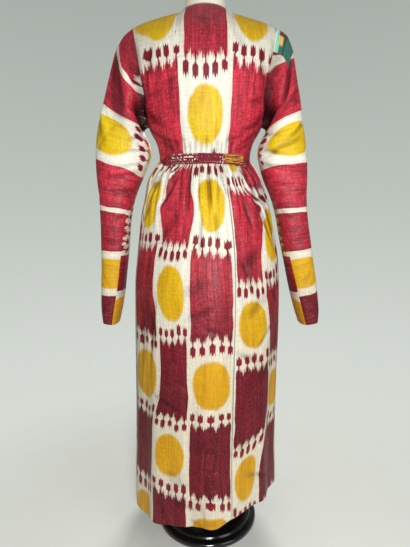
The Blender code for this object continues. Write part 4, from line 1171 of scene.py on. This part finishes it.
def stripMaterial():
    # The same adras drawn up tight on rows of thread, so its colours close into short dashes.
    material, tree = newMaterial("shirred adras")
    uv = addNode(tree, "UVMap", uv_map="cloth")
    u = addNode(tree, "SeparateXYZ", {0: uv})
    v = u.node.outputs[1]
    # dashes 3 mm by 6 mm, and rows of gold 2 mm apart
    spread = addNode(tree, "VectorMath", {0: uv, 1: (330, 170, 0)}, operation="MULTIPLY")
    dashes = addNode(tree, "TexNoise", {"Vector": spread, "Scale": 1.0, "Detail": 2.0})
    spread = addNode(tree, "VectorMath", {0: uv, 1: (48, 520, 0)}, operation="MULTIPLY")
    rows = addNode(tree, "TexNoise", {"Vector": spread, "Scale": 1.0, "Detail": 1.0})
    stitched = addNode(tree, "Math", {0: v, 1: 2 * pi / strip["threadGap"], 2: 0.6}, operation="MULTIPLY_ADD")
    stitched = addNode(tree, "Math", {0: stitched}, operation="SINE")
    drawn = addNode(tree, "Math", {0: stitched, 1: 0.07, 2: dashes}, operation="MULTIPLY_ADD")
    faint = addNode(tree, "MapRange", {"Value": drawn, "From Min": 0.66, "From Max": 0.74, "To Max": 0.50})
    pale = addNode(tree, "MapRange", {"Value": drawn, "From Min": 0.56, "From Max": 0.62})
    dark = addNode(tree, "MapRange", {"Value": dashes, "From Min": 0.46, "From Max": 0.34, "To Max": 0.85})
    zones = {}
    for key, (start, full, fading, end) in strip["zones"].items():
        begins = addNode(tree, "MapRange", {"Value": u, "From Min": start, "From Max": full})
        ends = addNode(tree, "MapRange", {"Value": u, "From Min": end, "From Max": fading})
        zones[key] = addNode(tree, "Math", {0: begins, 1: ends}, operation="MULTIPLY")

    # cream dashes, fewer towards the lower edge
    paleRows = addNode(tree, "MapRange", {"Value": v, "From Min": 0.024, "From Max": 0.014, "To Min": 0.2})
    zone = addNode(tree, "Math", {0: zones["pale"], 1: paleRows}, operation="MULTIPLY")
    zone = addNode(tree, "Math", {0: zone, 1: zones["dash"]}, operation="MAXIMUM")
    pale = addNode(tree, "Math", {0: pale, 1: zone}, operation="MULTIPLY")
    pale = addNode(tree, "Math", {0: pale, 1: faint}, operation="MAXIMUM")

    # gold in rows on red, clear of the lower edge
    goldRows = addNode(tree, "MapRange", {"Value": rows, "From Min": 0.46, "From Max": 0.54})
    low, high = linear(strip["goldLow"]), linear(strip["goldHigh"])
    gold = addNode(tree, "Mix", {0: goldRows, 6: low, 7: high}, 2, data_type="RGBA")
    clear = addNode(tree, "MapRange", {"Value": v, "From Min": 0.025, "From Max": 0.022})
    golden = addNode(tree, "Math", {0: zones["gold"], 1: clear}, operation="MULTIPLY")
    colour = linear(strip["red"])
    for share, over in ((dark, linear(strip["darkRed"])), (pale, linear(strip["cream"])), (golden, gold)):
        colour = addNode(tree, "Mix", {0: share, 6: colour, 7: over}, 2, data_type="RGBA")
    bump = addNode(tree, "Bump", {"Height": dashes, "Strength": 0.6, "Distance": 0.0012})
    adras = addNode(tree, "BsdfPrincipled", {
        "Base Color": colour, "Normal": bump, "Roughness": 0.6, "Specular IOR Level": 0.25, "Sheen Weight": 0.05,
    })
    addNode(tree, "OutputMaterial", {"Surface": adras})
    return material


# the strip is one skin: it lies on the bodice and its edges are stitched down
stripCloth = placedGrid("waistStripCloth", strip["columns"], strip["rows"], stripPoint, stripUv, stripLift)
finished(stripCloth, stripMaterial(), "ikat_strip", "waist_strip")

stitches = {
    "length": 0.0030, "thick": 0.00045, "gap": 0.0042, "radius": 0.105, "reach": 0.0062, "tilt": 0.03, "out": 0.0004,
    # angle from, angle to, share down the strip, colour
    "rows": (
        (9, 45, 0.03, "cream"), (12, 44, 0.36, "cream"), (-18, 8, 0.72, "cream"),
        (-54, -24, 0.03, "orange"), (-54, -25, 0.40, "orange"), (-54, -25, 0.72, "orange"),
        (-23, 8, 0.97, "burgundy"), (48, 60, 0.50, "burgundy"),
    ),
    "colours": {"cream": "#F2EADB", "orange": "#F0B45A", "burgundy": "#7C1B30"},
}


def makeStitches():
    shape = bmesh.new()
    shades = list(stitches["colours"])
    for rowIndex, (first, last, down, key) in enumerate(stitches["rows"]):
        count = int(radians(last - first) * stitches["radius"] / stitches["gap"])
        for step in range(count):
            wobble = scatter(rowIndex * 57 + step)
            angle = radians(first) + (step + 0.3 * wobble) * stitches["gap"] / stitches["radius"]
            share = (1 - angle / strip["halfAngle"]) / 2
            tilt = stitches["tilt"] * (scatter(step * 3 + rowIndex) - 0.5)
            ends = [stripPoint(share + side * stitches["reach"], down + side * tilt) for side in (-1, 1)]
            out = Vector((sin(angle), cos(angle), 0))
            middle = (ends[0] + ends[1]) / 2 + out * (stripLift(share, down) + stitches["out"])
            made = bmesh.ops.create_icosphere(shape, subdivisions=1, radius=1.0)["verts"]
            along = (ends[1] - ends[0]).normalized()
            over = along.cross(out)
            for point in made:
                x, y, z = point.co
                point.co = middle + along * x * stitches["length"] / 2 + (out * y + over * z) * stitches["thick"]
            for face in {face for point in made for face in point.link_faces}:
                face.material_index = shades.index(key)
                face.smooth = True
    bmesh.ops.recalc_face_normals(shape, faces=shape.faces)
    piece = pieceFrom(shape, "waistStitches")
    for key, hexColour in stitches["colours"].items():
        # twisted cotton thread, matt with a slight shine on its crest; its twist is 0.7 mm long
        material, tree = newMaterial(key + " cotton thread")
        place = addNode(tree, "TexCoord", output=3)
        twist = addNode(tree, "TexNoise", {"Vector": place, "Scale": 1400.0, "Detail": 1.0})
        shade = addNode(tree, "MapRange", {"Value": twist, "To Min": 0.8, "To Max": 1.1})
        colour = addNode(tree, "VectorMath", {0: linear(hexColour)[:3], "Scale": shade}, operation="SCALE")
        thread = addNode(tree, "BsdfPrincipled", {"Base Color": colour, "Roughness": 0.7, "Sheen Weight": 0.2})
        addNode(tree, "OutputMaterial", {"Surface": thread})
        piece.data.materials.append(material)
    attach(piece, "root")
    return piece


makeStitches()

binding = {
    "radius": 0.0018, "gap": 0.0009, "steps": 40, "frontShare": 0.97, "backShare": 0.985,
    "columns": 14, "rows": 420, "endSize": 0.35, "endRows": 3,
    "stitchesToMetre": 260.0, "redLow": "#5E1526", "redHigh": "#92263B", "cream": "#D8C6AA",
}


def bodiceNormal(across, down, side):
    step = 0.004
    along = bodicePoint(min(across + step, 1), down, side) - bodicePoint(max(across - step, -1), down, side)
    downward = bodicePoint(across, down + step, side) - bodicePoint(across, max(down - step, 0), side)
    return (along.cross(downward) * side).normalized()


def bindingPath():
    neckShare = bodice["neckHalf"] / bodice["shoulderHalf"]
    opening = bodice["opening"] / 2 / bodice["shoulderHalf"]
    steps = binding["steps"]
    frontEnd = neckShare * binding["frontShare"]
    front = [opening + (frontEnd - opening) * k / steps for k in range(steps + 1)]
    back = [neckShare * binding["backShare"] * cos(pi * k / (2 * steps)) for k in range(2 * steps + 1)]
    stations = [(a, -1) for a in front] + [(a, 1) for a in back] + [(-a, -1) for a in reversed(front)]
    edges = [bodicePoint(across, 0, side) for across, side in stations]
    path = []
    for index, (across, side) in enumerate(stations):
        facing = bodiceNormal(across, 0.004, side)
        along = edges[min(index + 1, len(edges) - 1)] - edges[max(index - 1, 0)]
        away = facing.cross(along).normalized()
        if away.dot(edges[index] - bodicePoint(across, 0.02, side)) < 0:
            away = -away
        path.append(edges[index] + away * (binding["radius"] + binding["gap"]) + facing * cloth["out"] / 2)
    return path


def makeBinding():
    path = bindingPath()
    last = len(path) - 1
    rows = binding["rows"]
    points = [Vector(rowAt([tuple(point) for point in path], row / rows * last)) for row in range(rows + 1)]
    lengths = runningLengths(points)

    def place(share, down):
        row = round(down * rows)
        along = (points[min(row + 2, rows)] - points[max(row - 2, 0)]).normalized()
        side = along.cross(Vector((0, 0, 1))).normalized()
        over = side.cross(along)
        turn = -2 * pi * share
        small = binding["endSize"]
        size = small + (1 - small) * smoothStep(0, binding["endRows"], min(row, rows - row))
        return points[row] + (side * cos(turn) + over * sin(turn)) * binding["radius"] * size

    def uvOf(share, down, midShare, midDown):
        return lengths[round(down * rows)], share

    piece = placedGrid("neckBinding", binding["columns"], rows, place, uvOf, closed=True)
    # silk overcast stitches over a narrow roll, one every 3.8 mm: burgundy with cream showing between
    material, tree = newMaterial("overcast silk binding")
    uv = addNode(tree, "UVMap", uv_map="cloth")
    u = addNode(tree, "SeparateXYZ", {0: uv})
    v = u.node.outputs[1]
    slant = addNode(tree, "Math", {0: v, 1: 0.004, 2: u}, operation="MULTIPLY_ADD")
    slant = addNode(tree, "Math", {0: slant, 1: binding["stitchesToMetre"]}, operation="MULTIPLY")
    slant = addNode(tree, "Math", {0: slant}, operation="FRACT")
    pale = addNode(tree, "MapRange", {"Value": slant, "From Min": 0.60, "From Max": 0.68})
    fine = addNode(tree, "TexNoise", {"Vector": uv, "Scale": 900.0, "Detail": 1.0})
    low, high = linear(binding["redLow"]), linear(binding["redHigh"])
    red = addNode(tree, "Mix", {0: fine, 6: low, 7: high}, 2, data_type="RGBA")
    colour = addNode(tree, "Mix", {0: pale, 6: red, 7: linear(binding["cream"])}, 2, data_type="RGBA")
    bump = addNode(tree, "Bump", {"Height": slant, "Strength": 0.5, "Distance": 0.0004})
    silk = addNode(tree, "BsdfPrincipled", {
        "Base Color": colour, "Normal": bump, "Roughness": 0.5, "Sheen Weight": 0.2,
    })
    addNode(tree, "OutputMaterial", {"Surface": silk})
    return finished(piece, material, "binding", "neck_binding")


makeBinding()

patch = {
    "rings": 2, "turn": 4 * 2 * pi / 22, "out": 0.0027, "thick": 0.0009, "columns": 60, "rows": 60,
    "greenLow": "#123F38", "greenHigh": "#3C7D6C", "seamColour": "#0E2420", "seam": (0.405, 0.022),
    # colour of each scrap laid over the green, then its edges: which way it is measured, clear of it, on it
    "scraps": (
        ("#8CCDB4", (("v", 0.235, 0.205),)),
        ("#EFE9DA", (("v", 0.075, 0.045),)),
        ("#E9B44A", (("torn", 0.235, 0.260), ("torn", 0.385, 0.360), ("u", 0.84, 0.76))),
        ("#6E1D2B", (("u", 0.56, 0.50), ("torn", 0.56, 0.50), ("torn", 0.18, 0.22))),
    ),
}


def patchPoint(share, down):
    return sleevePoint(rightSleeve, -1 + patch["rings"] * down, patch["turn"] * (1 - share))


def patchCrease(share, down):
    return sleeveCrease(rightSleeve, patchPoint(share, down), patch["turn"] * (1 - share))


def patchUv(share, down, midShare, midDown):
    return 1 - share, down


def patchMaterial():
    # scraps of another adras pieced over the sleeve head: bottle green, with a pale teal selvage,
    # a cream edge, a yellow tip along the sunk seam and a burgundy corner
    material, tree = newMaterial("green adras scraps")
    uv = addNode(tree, "UVMap", uv_map="cloth")
    spread = addNode(tree, "VectorMath", {0: uv, 1: (5, 60, 0)}, operation="MULTIPLY")  # threads 1.4 mm apart
    threads = addNode(tree, "TexNoise", {"Vector": spread, "Scale": 1.0, "Detail": 1.0})
    u = addNode(tree, "SeparateXYZ", {0: uv})
    v = u.node.outputs[1]
    torn = addNode(tree, "Math", {0: threads, 1: 0.06, 2: v}, operation="MULTIPLY_ADD")
    ways = {"u": u, "v": v, "torn": torn}
    low, high = linear(patch["greenLow"]), linear(patch["greenHigh"])
    colour = addNode(tree, "Mix", {0: threads, 6: low, 7: high}, 2, data_type="RGBA")
    for hexColour, edges in patch["scraps"]:
        share = 1.0
        for way, clear, on in edges:
            edge = addNode(tree, "MapRange", {"Value": ways[way], "From Min": clear, "From Max": on})
            share = addNode(tree, "Math", {0: edge, 1: share}, operation="MULTIPLY")
        colour = addNode(tree, "Mix", {0: share, 6: colour, 7: linear(hexColour)}, 2, data_type="RGBA")
    middle, half = patch["seam"]
    seam = addNode(tree, "Math", {0: v, 1: middle, 2: half}, operation="COMPARE")
    colour = addNode(tree, "Mix", {0: seam, 6: colour, 7: linear(patch["seamColour"])}, 2, data_type="RGBA")
    bump = addNode(tree, "Bump", {"Height": threads, "Strength": 0.4, "Distance": 0.0005})
    adras = addNode(tree, "BsdfPrincipled", {
        "Base Color": colour, "Normal": bump, "Roughness": 0.55, "Sheen Weight": 0.1,
    })
    addNode(tree, "OutputMaterial", {"Surface": adras})
    return material


patchPiece = placedGrid(
    "sleevePatchCloth", patch["columns"], patch["rows"], patchPoint, patchUv, patchCrease,
    out=patch["out"], thick=patch["thick"],
)
finished(patchPiece, patchMaterial(), "green_ikat", "sleeve_patch_right")
print("strip, stitches, binding and patch sewn on")


def jerseyMaterial():
    # cotton jersey pulled over padding: matt, with a fine knit and a slight unevenness
    material, tree = newMaterial("cream cotton jersey")
    place = addNode(tree, "TexCoord", output=3)
    knit = addNode(tree, "TexNoise", {"Vector": place, "Scale": 620.0, "Detail": 1.0})  # stitches, 1.6 mm
    cloudy = addNode(tree, "TexNoise", {"Vector": place, "Scale": 22.0, "Detail": 3.0})
    low, high = linear(form["jerseyLow"]), linear(form["jerseyHigh"])
    shade = addNode(tree, "Mix", {0: cloudy, 6: low, 7: high}, 2, data_type="RGBA")
    bump = addNode(tree, "Bump", {"Height": knit, "Strength": 0.3, "Distance": 0.0004})
    jersey = addNode(tree, "BsdfPrincipled", {
        "Base Color": shade, "Normal": bump, "Roughness": 0.85, "Sheen Weight": 0.25,
    })
    addNode(tree, "OutputMaterial", {"Surface": jersey})
    return material


def lacquerMaterial():
    # black lacquer over turned wood: deep gloss with faint wipe marks and dust
    material, tree = newMaterial("black lacquer")
    place = addNode(tree, "TexCoord", output=3)
    wipes = addNode(tree, "TexNoise", {"Vector": place, "Scale": 40.0, "Detail": 4.0, "Distortion": 0.6})
    gloss = addNode(tree, "MapRange", {
        "Value": wipes, "From Min": 0.3, "From Max": 0.75, "To Min": 0.10, "To Max": 0.24,
    })
    low, high = linear(base["lacquerLow"]), linear(base["lacquerHigh"])
    colour = addNode(tree, "Mix", {0: wipes, 6: low, 7: high}, 2, data_type="RGBA")
    lacquer = addNode(tree, "BsdfPrincipled", {
        "Base Color": colour, "Roughness": gloss, "Specular IOR Level": 0.5,
        "Coat Weight": 0.6, "Coat Roughness": 0.06,
    })
    addNode(tree, "OutputMaterial", {"Surface": lacquer})
    return material


def formPoint(share, down):
    rows = form["sections"]
    height, halfWidth, back, front = rowAt(rows, (len(rows) - 1) * (1 - down))
    angle = -2 * pi * share
    depth = back if cos(angle) > 0 else front
    return Vector((halfWidth * sin(angle) + leanAt(height), depth * cos(angle), height))


def makeForm():
    piece = placedGrid("dressForm", form["sides"], form["rows"], formPoint, lambda *shares: shares[:2], closed=True)
    shape = bmesh.new()
    shape.from_mesh(piece.data)
    rims = [edge for edge in shape.edges if edge.is_boundary]
    bmesh.ops.holes_fill(shape, edges=rims, sides=form["sides"])
    bmesh.ops.recalc_face_normals(shape, faces=shape.faces)
    shape.to_mesh(piece.data)
    shape.free()
    piece.data.shade_smooth()
    piece.data.set_sharp_from_angle(angle=form["sharpAbove"])
    return finished(piece, jerseyMaterial(), "form_jersey", "dress_form")


base = {
    "steps": 128, "poleRadius": 0.0125, "poleTop": 0.7997, "poleSides": 48, "sharpAbove": radians(40),
    "lacquerLow": "#060607", "lacquerHigh": "#141416",
    # radius, height, from the underside up to the collar
    "outline": (
        (0.1400, 0.0000), (0.1425, 0.0008), (0.1442, 0.0028), (0.1447, 0.0060), (0.1446, 0.0090),
        (0.1435, 0.0120), (0.1412, 0.0144), (0.1380, 0.0160), (0.1330, 0.0170), (0.1290, 0.0175),
        (0.1277, 0.0182), (0.1270, 0.0196), (0.1262, 0.0212), (0.1240, 0.0232), (0.1205, 0.0250),
        (0.1100, 0.0262), (0.0800, 0.0290), (0.0500, 0.0310), (0.0300, 0.0322), (0.0255, 0.0332),
        (0.0232, 0.0355), (0.0224, 0.0400), (0.0220, 0.0500), (0.0214, 0.0530), (0.0190, 0.0550),
    ),
}


def turnedPiece(shape, name, material, node):
    piece = pieceFrom(shape, name)
    piece.data.shade_smooth()
    piece.data.set_sharp_from_angle(angle=base["sharpAbove"])
    return finished(piece, material, "black_gloss", node)


def makeBase(material):
    shape = bmesh.new()
    chain = [shape.verts.new((0, 0, 0))]
    chain += [shape.verts.new((radius, 0, height)) for radius, height in base["outline"]]
    chain.append(shape.verts.new((0, 0, base["outline"][-1][1])))
    edges = [shape.edges.new(pair) for pair in zip(chain, chain[1:])]
    bmesh.ops.spin(
        shape, geom=chain + edges, cent=(0, 0, 0), axis=(0, 0, 1), angle=2 * pi, steps=base["steps"], use_merge=True
    )
    bmesh.ops.remove_doubles(shape, verts=shape.verts, dist=cloth["merge"])
    bmesh.ops.recalc_face_normals(shape, faces=shape.faces)
    return turnedPiece(shape, "turnedBase", material, "base")


def makePole(material):
    shape = bmesh.new()
    foot = base["outline"][-1][1]
    long = base["poleTop"] - foot
    bmesh.ops.create_cone(
        shape, cap_ends=True, segments=base["poleSides"],
        radius1=base["poleRadius"], radius2=base["poleRadius"], depth=long,
    )
    bmesh.ops.translate(shape, verts=shape.verts, vec=(0, 0, foot + long / 2))
    return turnedPiece(shape, "blackPole", material, "pole")


makeForm()
lacquer = lacquerMaterial()
makeBase(lacquer)
makePole(lacquer)
print("form and base made")

studio = {
    "floorLow": "#EEEFE8", "floorHigh": "#F4F5EE", "floorRadius": 2.6, "floorSides": 96,
    "floorNear": 0.30, "floorFar": 1.10, "ambient": 0.40, "wallRise": (-0.62, 0.46),
    # share of the rise, colour
    "wall": ((0.0, "#D9DCD3"), (1.0, "#A8AFA8"), (0.30, "#D3D9D2"), (0.63, "#BDC4BC")),
    "lens": 26.33, "film": 36, "cameraPlace": (0.0067, 1.12, 0.869), "cameraTilt": radians(7),
    # name, place, aim, size, watts
    "lamps": (
        ("keySoftbox", (-0.18, 2.0, 1.16), (0, 0, 1.02), 0.5, 32.0),
        ("fillSoftbox", (-1.6, 1.7, 1.3), (0, 0, 0.8), 1.2, 8.0),
        ("topSoftbox", (0.0, 0.4, 3.0), (0, 0, 0.6), 1.2, 4.0),
        ("frontSoftbox", (-0.4, -2.4, 2.2), (0, 0, 0.8), 1.2, 46.0),
    ),
}


def makeStudio():
    shape = bmesh.new()
    bmesh.ops.create_circle(shape, cap_ends=True, radius=studio["floorRadius"], segments=studio["floorSides"])
    floorPiece = pieceFrom(shape, "paleFloor")
    # matt paint, fading out to the backdrop's tone away from the object
    material, tree = newMaterial("matt studio floor")
    place = addNode(tree, "TexCoord", output=3)
    away = addNode(tree, "VectorMath", {0: place}, 1, operation="LENGTH")
    fade = addNode(tree, "MapRange", {
        "Value": away, "From Min": studio["floorNear"], "From Max": studio["floorFar"],
        "To Min": 1.0, "To Max": 0.0,
    }, interpolation_type="SMOOTHSTEP")
    cloudy = addNode(tree, "TexNoise", {"Vector": place, "Scale": 9.0, "Detail": 3.0})
    low, high = linear(studio["floorLow"]), linear(studio["floorHigh"])
    colour = addNode(tree, "Mix", {0: cloudy, 6: low, 7: high}, 2, data_type="RGBA")
    paint = addNode(tree, "BsdfPrincipled", {"Base Color": colour, "Roughness": 0.8, "Specular IOR Level": 0.2})
    clear = addNode(tree, "BsdfTransparent")
    mixed = addNode(tree, "MixShader", {0: fade, 1: clear, 2: paint})
    addNode(tree, "OutputMaterial", {"Surface": mixed})
    floorPiece.data.materials.append(material)

    # a pale wall, lighter towards the floor; it lights the object less than it shows
    world = bpy.data.worlds.new("studio")
    bpy.context.scene.world = world
    world.use_nodes = True
    tree = world.node_tree
    tree.nodes.clear()
    aim = addNode(tree, "TexCoord")
    rise = addNode(tree, "SeparateXYZ", {0: aim}, 2)
    low, high = studio["wallRise"]
    rise = addNode(tree, "MapRange", {"Value": rise, "From Min": low, "From Max": high})
    wall = addNode(tree, "ValToRGB", {0: rise})
    stops = wall.node.color_ramp.elements
    for index, (position, hexColour) in enumerate(studio["wall"]):
        stop = stops[index] if index < 2 else stops.new(position)
        stop.position = position
        stop.color = linear(hexColour)
    seen = addNode(tree, "LightPath")
    power = addNode(tree, "MapRange", {"Value": seen, "To Min": studio["ambient"], "To Max": 1.0})
    sky = addNode(tree, "Background", {"Color": wall, "Strength": power})
    addNode(tree, "OutputWorld", {"Surface": sky})

    for name, place, aim, size, watts in studio["lamps"]:
        lamp = bpy.data.lights.new(name, "AREA")
        lamp.shape = "DISK"
        lamp.size = size
        lamp.energy = watts
        light = bpy.data.objects.new(name, lamp)
        light.location = place
        light.rotation_euler = (Vector(aim) - Vector(place)).to_track_quat("-Z", "Y").to_euler()
        bpy.context.collection.objects.link(light)

    lens = bpy.data.cameras.new("camera")
    lens.sensor_fit = "VERTICAL"
    lens.sensor_height = studio["film"]
    lens.lens = studio["lens"]
    camera = bpy.data.objects.new("camera", lens)
    camera.location = studio["cameraPlace"]
    camera.rotation_euler = (pi / 2 - studio["cameraTilt"], 0, pi)
    bpy.context.collection.objects.link(camera)
    bpy.context.scene.camera = camera
    bpy.context.scene.view_settings.view_transform = "Standard"


makeStudio()
print("studio set")
